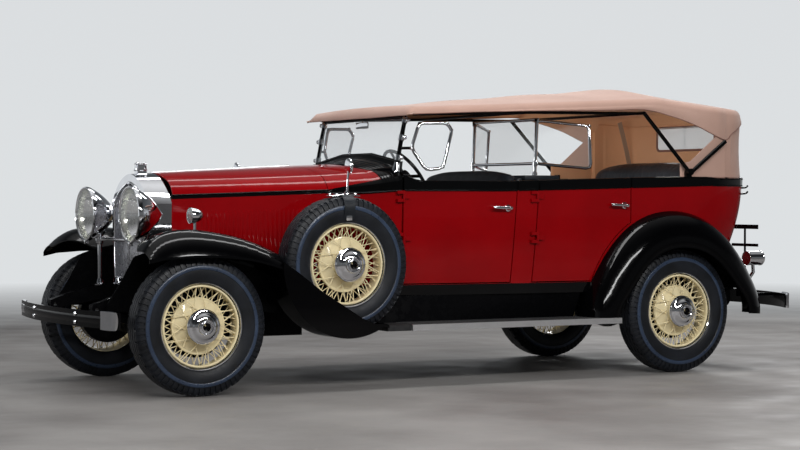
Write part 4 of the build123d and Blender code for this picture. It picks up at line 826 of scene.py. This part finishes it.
# Louvres in both sides of the hood
louvres = dict(count=28, pitch=0.027, start=0.176, low=0.79, high=1.066, climb=0.015)
bm = bmesh.new()
for i in range(louvres["count"]):
    x = louvres["start"] + louvres["pitch"] * i
    y = hoodHalf((x - hood["startX"]) / hood["length"]) - 0.0035
    high = louvres["high"] + louvres["climb"] * i / 21
    steps = (0, 0.02, 0.05, 0.1, 0.5, 0.9, 0.95, 0.98, 1)
    sweep(bm, [(frontX + x, -y, louvres["low"] + (high - louvres["low"]) * s) for s in steps],
          [(-0.0105, -0.003), (-0.007, 0.0005), (0.005, 0.0075), (0.0085, 0.007), (0.009, -0.003)], up=(0, -1, 0),
          scales=(0.25, 0.6, 0.85, 1, 1, 1, 0.85, 0.6, 0.25))
bothSides(bm)
finishPiece(bm, "hoodLouvres", "red", crisp=30)
bm = bmesh.new()
z = 0.69
for x in (0.11, 0.5, 0.88):
    y = hoodHalf((x - hood["startX"]) / hood["length"])
    sweep(bm, smoothLine([at(x, -y + 0.002, z - 0.03), at(x, -y - 0.016, z - 0.01), at(x, -y - 0.02, z + 0.03),
                          at(x, -y - 0.006, z + 0.055)], 4), 0.006, up=(1, 0, 0))
bothSides(bm)
finishPiece(bm, "hoodCatches", "chrome")

# Door handles
for hand, side in sides.items():
    for end, x, z in (("front", 2.14, 1.082), ("rear", rearX - 0.412 - frontX, 1.098)):
        y = side * (halfWidth(frontX + x) - tuckIn(z))
        bm = bmesh.new()
        lathe(bm, [(-0.002, 0.022), (0.003, 0.0215), (0.006, 0.015), (0.01, 0.0128), (0.03, 0.0125),
                   (0.0385, 0.0122),
                   (0.0425, 0.0095), (0.044, 0.0001)], at(x, y, z), (0, side, 0), 24)
        sweep(bm, smoothLine([at(x + 0.012, y + side * 0.03, z), at(x - 0.02, y + side * 0.0315, z + 0.001),
                              at(x - 0.065, y + side * 0.0305, z + 0.003),
                              at(x - 0.122, y + side * 0.028, z + 0.006)], 5),
              0.0096, up=(0, 0, 1), scales=[0.75, 0.95, 1.05, 1.08, 1.05, 1.0, 0.98, 0.98, 0.98, 0.98, 1.0, 1.03,
                                            1.06, 1.08, 0.98, 0.6])
        finishPiece(bm, f"doorHandle_{end}_{hand}", "chrome", f"door_{end}_{hand}")
print("body trim done")

# Bumpers: bowed bars with plated ends and bolt heads
bumpers = dict(height=0.096, middleZ=0.449, capLength=0.15)


def bumper(name, middleX, endX, half, bolts):
    way = 1 if endX > middleX else -1
    radius = (half ** 2 + (endX - middleX) ** 2) / (2 * abs(endX - middleX))

    def bow(y):
        return middleX + way * (radius - sqrt(radius ** 2 - y * y))
    h = bumpers["height"] / 2
    face = [(0.0065, -0.92), (0.003, -0.66), (0.0008, -0.33), (0.0, 0), (0.0008, 0.33), (0.003, 0.66),
            (0.0065, 0.92), (0.01, 1.0),
            (0.0125, 0.96), (0.012, 0), (0.0125, -0.96), (0.01, -1.0)]
    section = [(a * way, u * h) for a, u in face]
    bm = bmesh.new()
    ys = [half * (k / 24 - 1) for k in range(49)]
    sweep(bm, [(bow(y), y, bumpers["middleZ"]) for y in ys], section)
    before = len(bm.faces)
    for side in (-1, 1):
        ends = [side * (half - bumpers["capLength"] * (1 - k / 5)) for k in range(6)]
        grown = [1.07, 1.09, 1.09, 1.09, 1.09, 1.04]
        sweep(bm, [(bow(y) - way * 0.0015, y, bumpers["middleZ"]) for y in ends],
              [(a * 1.5, u * 1.03) for a, u in section], scales=grown)
        for dz in (-0.024, 0.024):
            lathe(bm, [(0.0, 0.013), (0.006, 0.012), (0.009, 0.008), (0.01, 0.0001)],
                  (bow(bolts), side * bolts, bumpers["middleZ"] + dz), (-way, 0, 0), 16)
    painted(bm, before, 1)
    finishPiece(bm, name + "Bar", ["black", "chrome"], crisp=40)


bumper("front", frontX - 0.6135, frontX - 0.5165, 0.848, 0.362)
bumper("rear", rearX + 1.1215, rearX + 0.9215, 0.8, 0.48)

# Lamps: plated rims, bowed lenses and small ones on the fenders and the tail
lampX, lampY, lampZ = frontX - 0.265, 0.372, 1.045
standX, smallLamp, tailLamp = lampX + 0.095, at(0.016, -0.62, 1.041), (rearX + 0.85, -0.6, 0.735)
bm = bmesh.new()
lathe(bm, [(0.004, 0.152), (-0.003, 0.156), (-0.006, 0.161), (-0.004, 0.1675), (0.003, 0.1695), (0.014, 0.169),
           (0.02, 0.1675), (0.024, 0.1665)],
      (lampX, -lampY, lampZ), (1, 0, 0), 56)
block(bm, (lampX - 0.006, -lampY - 0.01, lampZ - 0.184), (lampX + 0.022, -lampY + 0.01, lampZ - 0.16), 0.003)
lathe(bm, [(-0.03, 0.019), (-0.026, 0.024), (0.0, 0.026), (0.012, 0.024), (0.018, 0.017)], (standX, -lampY, 0.89),
      (0, 0, 1), 24)
lathe(bm, [(-0.05, 0.016), (0.0, 0.018), (0.02, 0.03), (0.036, 0.046)], (standX, -lampY, 0.9), (0, 0, 1), 24)
lathe(bm, [(0.0, 0.04), (0.006, 0.04), (0.012, 0.026), (0.04, 0.017)], (standX, -lampY, 0.604), (0, 0, 1), 24)
lathe(bm, [(0.000, 0.0445), (-0.003, 0.046), (-0.001, 0.048), (0.006, 0.0485), (0.011, 0.047)], smallLamp,
      (1, 0, 0), 32)
bothSides(bm)
lathe(bm, [(0.0, 0.049), (0.004, 0.0515), (0.01, 0.051), (0.014, 0.0475), (0.013, 0.044)], tailLamp, (1, 0, 0), 36)
lathe(bm, [(0.0, 0.0485), (0.003, 0.05), (0.01, 0.0495)], (rearX + 0.738, -0.6, 0.735), (1, 0, 0), 36)
finishPiece(bm, "lampRims", "chrome")
bm = bmesh.new()
lathe(bm, [(0.003, 0.1575), (-0.004, 0.154), (-0.01, 0.135), (-0.016, 0.1), (-0.0195, 0.05), (-0.0205, 0.0001)],
      (lampX, -lampY, lampZ), (1, 0, 0), 56)
lathe(bm, [(0.001, 0.044), (-0.006, 0.04), (-0.012, 0.024), (-0.014, 0.0001)], smallLamp, (1, 0, 0), 28)
bothSides(bm)
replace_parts(finishPiece(bm, "lampLenses", "lens"), "headlamp_lenses")
bm = bmesh.new()
lathe(bm, [(0.008, 0.045), (0.014, 0.042), (0.02, 0.028), (0.023, 0.0001)], tailLamp, (1, 0, 0), 32)
finishPiece(bm, "tailLens", "ruby")
bm = bmesh.new()
lathe(bm, [(-0.012, 0.1545), (0.01, 0.153), (0.05, 0.133), (0.095, 0.095), (0.13, 0.05), (0.142, 0.0001)],
      (lampX + 0.022, -lampY, lampZ), (1, 0, 0), 40)
bmesh.ops.reverse_faces(bm, faces=bm.faces)
ball(bm, (lampX + 0.07, -lampY, lampZ), 0.014)
bothSides(bm)
finishPiece(bm, "lampReflectors", "reflector", closed=False)

# Radiator: bead round the core, the post down its middle and the cap
bm = bmesh.new()
core = dict(half=0.252, footHalf=0.232, footZ=0.657, shoulderZ=1.085, rise=0.153)
outline = [(core["footHalf"], core["footZ"]), (core["half"], core["shoulderZ"])]
outline += [(core["half"] * w, core["shoulderZ"] + core["rise"] * h)
            for w, h in ((0.92, 0.3), (0.66, 0.62), (0.33, 0.86), (0, 1))]
arch = [at(-0.119, -y, z) for y, z in outline] + [at(-0.119, y, z) for y, z in outline[-2::-1]]
sweep(bm, arch[:2] + smoothLine(arch[1:-1], 6)[1:-1] + arch[-2:], 0.006, up=(1, 0, 0), closed=True)
block(bm, (frontX - 0.1235, -0.0035, 0.66), (frontX - 0.1165, 0.0035, 1.235), 0.002)
lathe(bm, [(0.0, 0.04), (0.004, 0.042), (0.012, 0.041), (0.016, 0.034), (0.018, 0.03), (0.034, 0.0285),
           (0.038, 0.033), (0.046, 0.034), (0.052, 0.029),
           (0.055, 0.018), (0.056, 0.0001)], (frontX - 0.045, 0, 1.3085), (0, 0, 1), 36)
for k in range(12):  # finger grips round the cap
    a = 2 * pi * k / 12
    ball(bm, (frontX - 0.045 + 0.0335 * cos(a), 0.0335 * sin(a), 1.3505), 0.0052)
finishPiece(bm, "radiatorTrim", "chrome", crisp=40)

# Glass and plated channels of the windshields' wings
bm = bmesh.new()
frontWing = [(1.512, 0.596, 1.455), (1.553, 0.622, 1.61), (1.731, 0.655, 1.613), (1.767, 0.66, 1.57),
             (1.702, 0.66, 1.332),
             (1.592, 0.64, 1.318)]
rearWing = [(2.573, 0.392, 1.655), (2.828, 0.62, 1.617), (2.822, 0.65, 1.338), (2.56, 0.392, 1.372)]
for wing in (frontWing, rearWing):
    face = bm.faces.new([bm.verts.new(at(x, -y, z)) for x, y, z in wing])
    bmesh.ops.solidify(bm, geom=[face], thickness=0.003)
bothSides(bm)
finishPiece(bm, "wingGlass", "glass", crisp=20)
bm = bmesh.new()
for wing in (frontWing, rearWing):  # plated channel round each wing, with turned corners
    rim = []
    for a, b, c in zip(wing[-1:] + wing[:-1], wing, wing[1:] + wing[:1]):
        a, b, c = Vector(a), Vector(b), Vector(c)
        toward, on = (a - b), (c - b)
        turnOff = min(0.03, toward.length * 0.4, on.length * 0.4)
        p, q = b + toward.normalized() * turnOff, b + on.normalized() * turnOff
        rim += [p, p * 0.25 + b * 0.5 + q * 0.25, q]
    sweep(bm, [at(p.x, -p.y, p.z) for p in rim], 0.0108, up=(0, 1, 0), closed=True)
bothSides(bm)
finishPiece(bm, "wingChannels", "chrome")

# Second windshield's tubes, on the ledge behind the front seat
bm = bmesh.new()
for side in (-1, 1):
    sweep(bm, [at(2.553, side * 0.392, 1.284), at(2.573, side * 0.392, 1.668)], 0.0125, up=(0, 1, 0))
    for z in (1.3, 1.372, 1.655):
        lathe(bm, [(-0.016, 0.013), (-0.014, 0.018), (0.014, 0.018), (0.016, 0.013)],
              (frontX + 2.553 + 0.02 * (z - 1.29) / 0.372, side * 0.392, z), (0.054, 0, 1), 20)
for x, z in ((2.573, 1.662), (2.5575, 1.372)):
    sweep(bm, [at(x, -0.392, z), at(x, 0.392, z)], 0.01, up=(0, 0, 1))
before = len(bm.faces)
block(bm, at(2.3455, -0.6, 1.262), at(2.613, 0.6, 1.292), 0.006)
painted(bm, before, 1)
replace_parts(finishPiece(bm, "tonneauTubes", ["chrome", "leather"]), "tonneau_frame")
bm = bmesh.new()
for x, y, z in ((1.443, 0.552, 1.395), (1.466, 0.552, 1.52), (1.49, 0.552, 1.63)):
    lathe(bm, [(-0.02, 0.0145), (-0.018, 0.019), (0.018, 0.019), (0.02, 0.0145)], at(x, -y, z), (0.2, 0, 1), 20)
    lathe(bm, [(0.0, 0.01), (0.018, 0.01), (0.024, 0.014), (0.032, 0.014), (0.035, 0.008), (0.036, 0.0001)],
          at(x, -y - 0.014, z), (0, -1, 0), 16)
for x, y, z in frontWing[:1] + frontWing[2:3] + rearWing[:2]:
    ball(bm, at(x, -y, z), 0.0125)
lathe(bm, [(-0.045, 0.0001), (-0.045, 0.026), (-0.036, 0.03), (0.0, 0.024), (0.03, 0.018), (0.048, 0.0165)],
      at(1.424, -0.556, 1.318), (0.2, 0, 1), 24)  # casting at the post's foot
bothSides(bm)
block(bm, at(1.478, -0.08, 1.592), at(1.488, 0.08, 1.634), 0.004)
sweep(bm, [at(1.486, 0, 1.63), at(1.492, 0, 1.656)], 0.005, up=(1, 0, 0))
finishPiece(bm, "shieldFittings", "chrome")
bm = bmesh.new()  # sleeves on the posts, and the panel that closes the gap between the frame's foot and the cowl
arch = cowlArch(1.428, -0.004)[2:-2]
crownAt, shoulderAt = (0.2, 1.424), (0.552, 1.372)
upper = []
for point in arch:
    share = min(max((abs(point.y) - crownAt[0]) / (shoulderAt[0] - crownAt[0]), 0), 1)
    upper.append(Vector((frontX + 1.44, point.y,
                         max(crownAt[1] + (shoulderAt[1] - crownAt[1]) * share, point.z + 0.002))))
rows = [[bm.verts.new(p) for p in line] for line in (arch, upper)]
panel = [bm.faces.new((rows[0][i], rows[0][i + 1], rows[1][i + 1], rows[1][i])) for i in range(len(arch) - 1)]
bmesh.ops.solidify(bm, geom=panel, thickness=0.004)
for low, high in (((1.434, 1.352), (1.463, 1.5)), ((1.469, 1.54), (1.486, 1.612))):
    for side in (-1, 1):
        sweep(bm, [at(low[0], side * 0.552, low[1]), at(high[0], side * 0.552, high[1])], 0.0135, up=(1, 0, 0))
finishPiece(bm, "shieldSurround", "black")
bm = bmesh.new()
block(bm, at(1.4885, -0.076, 1.596), at(1.4895, 0.076, 1.63), 0.0004)
finishPiece(bm, "insideMirror", "mirror")

# Spare wheels: strap, buckle and mirror on each
bm, metalBm = bmesh.new(), bmesh.new()
around = [(-0.094, 0.33), (-0.09, 0.365), (-0.07, 0.404), (-0.02, 0.4095), (0.03, 0.4095), (0.07, 0.404),
          (0.09, 0.365), (0.0945, 0.335),
          (0.09, 0.305), (0.08, 0.272)]
sweep(bm, [(spareX, -spareY - a, spareZ + r) for a, r in around],
      [(-0.036, 0), (0.036, 0), (0.036, 0.0035), (-0.036, 0.0035)],
      up=(0, 0.6, 0.8))
bothSides(bm)
finishPiece(bm, "spareStraps", "leather", crisp=60)
for x in (-0.085, 0.085):
    lathe(metalBm, [(0.0, 0.01), (0.01, 0.01), (0.014, 0.006)], (spareX + x, -spareY, spareZ + 0.4105), (0, 0, 1),
          12)
block(metalBm, (spareX - 0.105, -spareY - 0.03, spareZ + 0.4055), (spareX + 0.105, -spareY + 0.03, spareZ + 0.4125),
      0.003)
block(metalBm, (spareX - 0.062, -spareY - 0.032, spareZ + 0.41), (spareX + 0.062, -spareY + 0.032, spareZ + 0.421),
      0.004)
block(metalBm, (spareX - 0.02, -spareY - 0.0895, spareZ + 0.262), (spareX + 0.02, -spareY - 0.0765, spareZ + 0.312),
      0.004)
lathe(metalBm, [(0.0, 0.018), (0.012, 0.016), (0.02, 0.011)], (spareX + 0.03, -spareY, spareZ + 0.419), (0, 0, 1), 20)
sweep(metalBm, smoothLine([(spareX + 0.03, -spareY, spareZ + 0.42), (spareX + 0.034, -spareY, 1.25),
                           (spareX + 0.04, -spareY, 1.305)], 5), 0.0065, up=(1, 0, 0))
lathe(metalBm, [(-0.009, 0.0001), (-0.0085, 0.022), (-0.006, 0.038), (-0.001, 0.0465), (0.005, 0.048),
                (0.0072, 0.0465), (0.0072, 0.044)],
      (spareX + 0.04, -spareY, 1.335), (1, 0, 0.05), 40)
bothSides(metalBm)
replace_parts(finishPiece(metalBm, "spareMirrors", "chrome"), "spare_mirrors")
bm = bmesh.new()
lathe(bm, [(0.006, 0.045), (0.0062, 0.0001)], (spareX + 0.04, -spareY, 1.335), (1, 0, 0.05), 40)
bothSides(bm)
finishPiece(bm, "spareMirrorGlass", "mirror", closed=False)

# Running boards: ribbed rubber
bm = bmesh.new()
for k in range(11):
    y = 0.668 + 0.0195 * k
    sweep(bm, [at(1.36, -y, 0.3785), (rearX - 0.53, -y, 0.3785)],
          [(-0.0065, -0.001), (-0.0045, 0.003), (0.0045, 0.003), (0.0065, -0.001)])
bothSides(bm)
finishPiece(bm, "boardRibs", "rubber", crisp=30)

# Tail: filler cap and the hooks that hold the top
bm = bmesh.new()
lathe(bm, [(-0.1, 0.02), (-0.02, 0.022), (0.0, 0.032), (0.01, 0.035), (0.026, 0.034), (0.032, 0.026),
           (0.034, 0.0001)], (rearX + 0.56, -0.43, 0.64), (0, 0, 1), 28)
before = len(bm.faces)
for z in (1.175, 1.215):
    for side in (-1, 1):
        spot = Vector((rearX + 0.642, side * 0.655, z))
        sweep(bm, smoothLine([spot, spot + Vector((0.03, side * 0.02, 0.004)),
                              spot + Vector((0.04, side * 0.03, 0.018))], 4), 0.006, up=(0, 0, 1))
painted(bm, before, 1)
finishPiece(bm, "tailFittings", ["chrome", "black"])

# Dash, dials, levers and pedals
dials = ((-0.16, 0.046), (0.0, 0.058), (0.16, 0.046))
dashX, dialZ = cowlRearX - 0.0155, 1.235
bm = bmesh.new()
for y, radius in dials:
    lathe(bm, [(-0.002, radius + 0.004), (0.006, radius + 0.006), (0.009, radius + 0.003), (0.008, radius - 0.001),
               (0.002, radius - 0.003)], (dashX, y, dialZ), (1, 0, 0), 32)
for y in (-0.26, 0.26):
    lathe(bm, [(0.0, 0.006), (0.014, 0.006), (0.018, 0.01), (0.026, 0.01), (0.028, 0.0001)], (dashX, y, 1.22),
          (1, 0, 0), 16)
finishPiece(bm, "dialRims", "chrome")
bm = bmesh.new()
for y, radius in dials:
    lathe(bm, [(0.0, radius), (0.0025, radius - 0.001), (0.003, 0.0001)], (dashX, y, dialZ), (1, 0, 0), 32)
    before = len(bm.faces)
    for k in range(11):
        a = radians(-130 + 26 * k)
        spot = Vector((dashX + 0.0035, y + radius * 0.82 * sin(a), dialZ + radius * 0.82 * cos(a)))
        mark = Vector((0.0006, 0.0012, 0.0035))
        block(bm, spot - mark, spot + mark, turn=Matrix.Rotation(-a, 4, "X"))
    block(bm, (dashX + 0.004, y - 0.001, dialZ), (dashX + 0.005, y + 0.001, dialZ + radius * 0.7))
    painted(bm, before, 1)
finishPiece(bm, "dialFaces", ["dial", "black"], crisp=30)
bm = bmesh.new()
sweep(bm, smoothLine([at(1.62, -0.03, 0.605), at(1.66, -0.03, 0.8), at(1.74, -0.04, 1.00)], 5), 0.008, up=(0, 1, 0))
ball(bm, at(1.745, -0.04, 1.015), 0.022)
sweep(bm, smoothLine([at(1.58, 0.06, 0.605), at(1.6, 0.06, 0.8), at(1.64, 0.06, 0.95)], 5), 0.009, up=(0, 1, 0))
for y in (-0.46, -0.3, -0.2):
    sweep(bm, smoothLine([at(1.16, y, 0.62), at(1.22, y, 0.7), at(1.26, y, 0.8)], 4), 0.007, up=(0, 1, 0))
    block(bm, at(1.25, y - 0.03, 0.785), at(1.264, y + 0.03, 0.845), 0.004,
          turn=Matrix.Rotation(radians(-25), 4, "Y"))
finishPiece(bm, "leversAndPedals", "hardRubber")
print("lamps and fittings done")

# Seats: pads of pleated leather, blown up a little as cloth, on their plinths
seats = dict(  # outline of each pad as (x, z), half width and number of pleats
    frontCushion=([(1.8, 0.8), (1.785, 0.88), (1.812, 0.925), (1.87, 0.935), (2.01, 0.93), (2.17, 0.918),
                   (2.205, 0.89), (2.205, 0.8)],
                  0.56, 14),
    frontBack=([(2.205, 0.905), (2.212, 1.000), (2.232, 1.18), (2.248, 1.27), (2.262, 1.318), (2.29, 1.334),
                (2.318, 1.322), (2.33, 1.28),
                (2.32, 1.000), (2.318, 0.905)], 0.56, 14),
    rearCushion=([(3.072, 0.8), (3.062, 0.88), (3.09, 0.93), (3.15, 0.942), (3.33, 0.936), (3.56, 0.922),
                  (3.61, 0.895), (3.61, 0.8)],
                 0.565, 14),
    rearBack=([(3.625, 0.9), (3.64, 1.04), (3.668, 1.22), (3.69, 1.34), (3.715, 1.382), (3.765, 1.4),
               (3.82, 1.396), (3.858, 1.362),
               (3.835, 1.18), (3.8, 1.000), (3.77, 0.9)], 0.582, 14))
padSizes = dict(voxel=0.012, pressure=4.0, swell=0.014, groove=0.003, grooveWidth=0.009, frames=20, crownMid=0.006,
                crownEnd=0.056)
pads = {}
for name, (outline, half, pleats) in seats.items():
    middle = Vector((sum(x for x, z in outline) / len(outline), 0, sum(z for x, z in outline) / len(outline)))
    line = smoothLine([(x - middle.x, 0, z - middle.z) for x, z in outline], 4, closed=True)
    bm = bmesh.new()
    ends = [(-1, 0.8), (-0.985, 0.9), (-0.96, 0.97), (-0.92, 1)]
    ends = ends + [(k / 10, 1) for k in range(-9, 10)] + [(-y, s) for y, s in ends[::-1]]
    sweep(bm, [at(middle.x, half * y, middle.z) for y, s in ends], [(p.x, p.z) for p in line],
          scales=[s for y, s in ends])
    pads[name] = finishPiece(bm, name, "leather", crisp=180)
    mesher = pads[name].modifiers.new("remesh", "REMESH")
    mesher.mode, mesher.voxel_size, mesher.use_smooth_shade = "VOXEL", padSizes["voxel"], True
    applyModifiers(pads[name])
start = {name: [v.co.copy() for v in pad.data.vertices] for name, pad in pads.items()}
for pad in pads.values():
    cloth = pad.modifiers.new("inflate", "CLOTH")
    cloth.settings.use_pressure = True
    cloth.settings.uniform_pressure_force = padSizes["pressure"]
    cloth.settings.effector_weights.gravity = 0
    cloth.point_cache.frame_start, cloth.point_cache.frame_end = 1, padSizes["frames"]
for step in range(1, padSizes["frames"] + 1):
    bpy.context.scene.frame_set(step)
for name, pad in pads.items():
    applyModifiers(pad)
    for vert, old in zip(pad.data.vertices, start[name]):
        move = vert.co - old
        if move.length > padSizes["swell"]:
            vert.co = old + move.normalized() * padSizes["swell"]
bpy.context.scene.frame_set(1)
for name, pad in pads.items():
    finer = pad.modifiers.new("finer", "SUBSURF")
    finer.levels = finer.render_levels = 1
    applyModifiers(pad)
    outline, half, pleats = seats[name]
    low = min(z for x, z in outline)
    width = 2 * half / pleats
    mesh = pad.data
    normals = [v.normal.copy() for v in mesh.vertices]
    high = max(z for x, z in outline)
    for vert, normal in zip(mesh.vertices, normals):
        if name.endswith("Back"):
            share = min(max((vert.co.z - low - 0.12) / (high - low - 0.12), 0), 1)
            vert.co.z += share * (padSizes["crownMid"] - padSizes["crownEnd"] * (abs(vert.co.y) / half) ** 4)
        facing = max(normal.z, -normal.x, 0)
        if facing < 0.3 or vert.co.z < low + 0.05:
            continue
        off = abs((vert.co.y / width + 0.5) % 1 - 0.5) * width
        fade = 1 - min(max((vert.co.z - high + 0.13) / 0.06, 0), 1) if name.endswith("Back") else 1
        pleat = exp(-((width / 2 - off) / padSizes["grooveWidth"]) ** 2)
        vert.co -= normal * fade * padSizes["groove"] * pleat * min(facing * 1.5, 1)
    for face in mesh.polygons:
        face.use_smooth = True
bm = bmesh.new()
block(bm, at(1.805, -0.58, 0.615), at(2.325, 0.58, 0.83), 0.012)
block(bm, at(2.3, -0.582, 0.615), at(2.342, 0.582, 1.275), 0.012)
block(bm, at(3.085, -0.588, 0.706), at(3.78, 0.588, 0.83), 0.012)
for z in (1.02, 1.16):
    sweep(bm, [at(2.3425, -0.4, z), at(2.3425, 0.4, z)], 0.004)
finishPiece(bm, "seatPlinths", "leather", crisp=30)
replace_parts(pads["frontBack"], "front_seat")
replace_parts(pads["rearBack"], "rear_seat")
print("seats done")

# Floor, which fades into the haze far from the car
n = Finish("floorConcrete", specular=0.3)
n.join(n.mix(n.cloud(0.8, 6, 0.35, 0.7), (0.17, 0.158, 0.15), (0.29, 0.275, 0.262)), "Base Color")
n.join(n.cloud(3, 5, start=0.45, end=0.7), "Roughness")
n.bump(n.cloud(30, 5, 0, 1), 0.08, 0.004)
haze, ray = n.add("ShaderNodeEmission"), n.add("ShaderNodeLightPath")
haze.inputs["Color"].default_value = (0.72, 0.745, 0.76, 1)
length = n.add("ShaderNodeVectorMath", operation="LENGTH")
n.join(n.coords, length.inputs[0])
far = n.math("MULTIPLY", n.span(length.outputs["Value"], 5.5, 15.0), ray.outputs["Is Camera Ray"])
mixer = n.add("ShaderNodeMixShader")
n.join(far, mixer.inputs[0])
n.join(n.shader.outputs[0], mixer.inputs[1])
n.join(haze.outputs[0], mixer.inputs[2])
n.join(mixer.outputs[0], n.tree.nodes["Material Output"].inputs["Surface"])
bm = bmesh.new()
bmesh.ops.create_grid(bm, x_segments=1, y_segments=1, size=40, matrix=Matrix.Translation((5, 20, 0)))
floorMesh = bpy.data.meshes.new("floor")
bm.to_mesh(floorMesh)
bm.free()
floor = bpy.data.objects.new("floor", floorMesh)
bpy.context.scene.collection.objects.link(floor)
floorMesh.materials.append(n.material)

# The hall behind is pale near the horizon and darker overhead, and plated parts show it too
world = bpy.data.worlds.new("studio")
bpy.context.scene.world = world
world.use_nodes = True
tree = world.node_tree
fill = tree.nodes["Background"]
fill.inputs["Color"].default_value = (0.5, 0.52, 0.55, 1)
fill.inputs["Strength"].default_value = 0.62
link = tree.links.new
ray, way = tree.nodes.new("ShaderNodeLightPath"), tree.nodes.new("ShaderNodeTexCoord")
split, rise = tree.nodes.new("ShaderNodeSeparateXYZ"), tree.nodes.new("ShaderNodeValToRGB")
link(way.outputs["Generated"], split.inputs[0])
link(split.outputs[2], rise.inputs[0])
ramp = rise.color_ramp
for place, color in ((0.0, (0.72, 0.745, 0.76, 1)), (0.16, (0.7, 0.72, 0.74, 1)), (0.26, (0.16, 0.17, 0.18, 1)),
                     (0.6, (0.05, 0.055, 0.06, 1))):
    stop = ramp.elements[0] if place == 0 else ramp.elements.new(place)
    stop.position, stop.color = place, color
seen = tree.nodes.new("ShaderNodeBackground")
link(rise.outputs[0], seen.inputs["Color"])
ahead, strength = tree.nodes.new("ShaderNodeMapRange"), tree.nodes.new("ShaderNodeMath")  # dim where the camera stands
for socket, value in zip(list(ahead.inputs)[1:5], (-0.55, 0.25, 0.16, 1.0)):
    socket.default_value = value
strength.operation = "MAXIMUM"
link(split.outputs[1], ahead.inputs[0])
link(ahead.outputs[0], strength.inputs[0])
link(ray.outputs["Is Camera Ray"], strength.inputs[1])
link(strength.outputs[0], seen.inputs["Strength"])
either, mixer = tree.nodes.new("ShaderNodeMath"), tree.nodes.new("ShaderNodeMixShader")
either.operation, either.use_clamp = "ADD", True
link(ray.outputs["Is Camera Ray"], either.inputs[0])
link(ray.outputs["Is Glossy Ray"], either.inputs[1])
link(either.outputs[0], mixer.inputs[0])
link(fill.outputs[0], mixer.inputs[1])
link(seen.outputs[0], mixer.inputs[2])
link(mixer.outputs[0], tree.nodes["World Output"].inputs["Surface"])

lights = dict(  # place, what it points at, width and height, watts
    overhead=((0.3, -0.8, 4.8), (0.2, 0.1, 0), (7.0, 0.5), 120),
    overheadFar=((0.3, 2.4, 4.6), (0.2, 0.2, 0), (7.0, 0.5), 60),
    leftStrip=((-1.5, -7.0, 4.2), (0.2, 0, 0.7), (8.0, 0.45), 390),
    rearRight=((6.0, 4.5, 3.2), (0.5, 0, 0.8), (3.5, 0.6), 90),
    cabin=(at(2.75, 0, 1.42), at(4.0, 0, 1.45), (0.9, 0.25), 4.5),
    nose=((-8.0, 1.5, 2.0), (-1.5, 0, 0.8), (2.0, 0.5), 50))
for name, (place, aim, size, watts) in lights.items():
    lamp = bpy.data.lights.new(name, "AREA")
    lamp.shape, lamp.size, lamp.size_y, lamp.energy = "RECTANGLE", *size, watts
    lampObject = bpy.data.objects.new(name, lamp)
    bpy.context.scene.collection.objects.link(lampObject)
    lampObject.location = place
    lampObject.visible_camera = False
    lampObject.visible_glossy = name != "cabin"
    lampObject.rotation_euler = (Vector(aim) - Vector(place)).to_track_quat("-Z", "Y").to_euler()
bpy.context.scene.view_settings.view_transform = "Standard"

print("floor and light done")
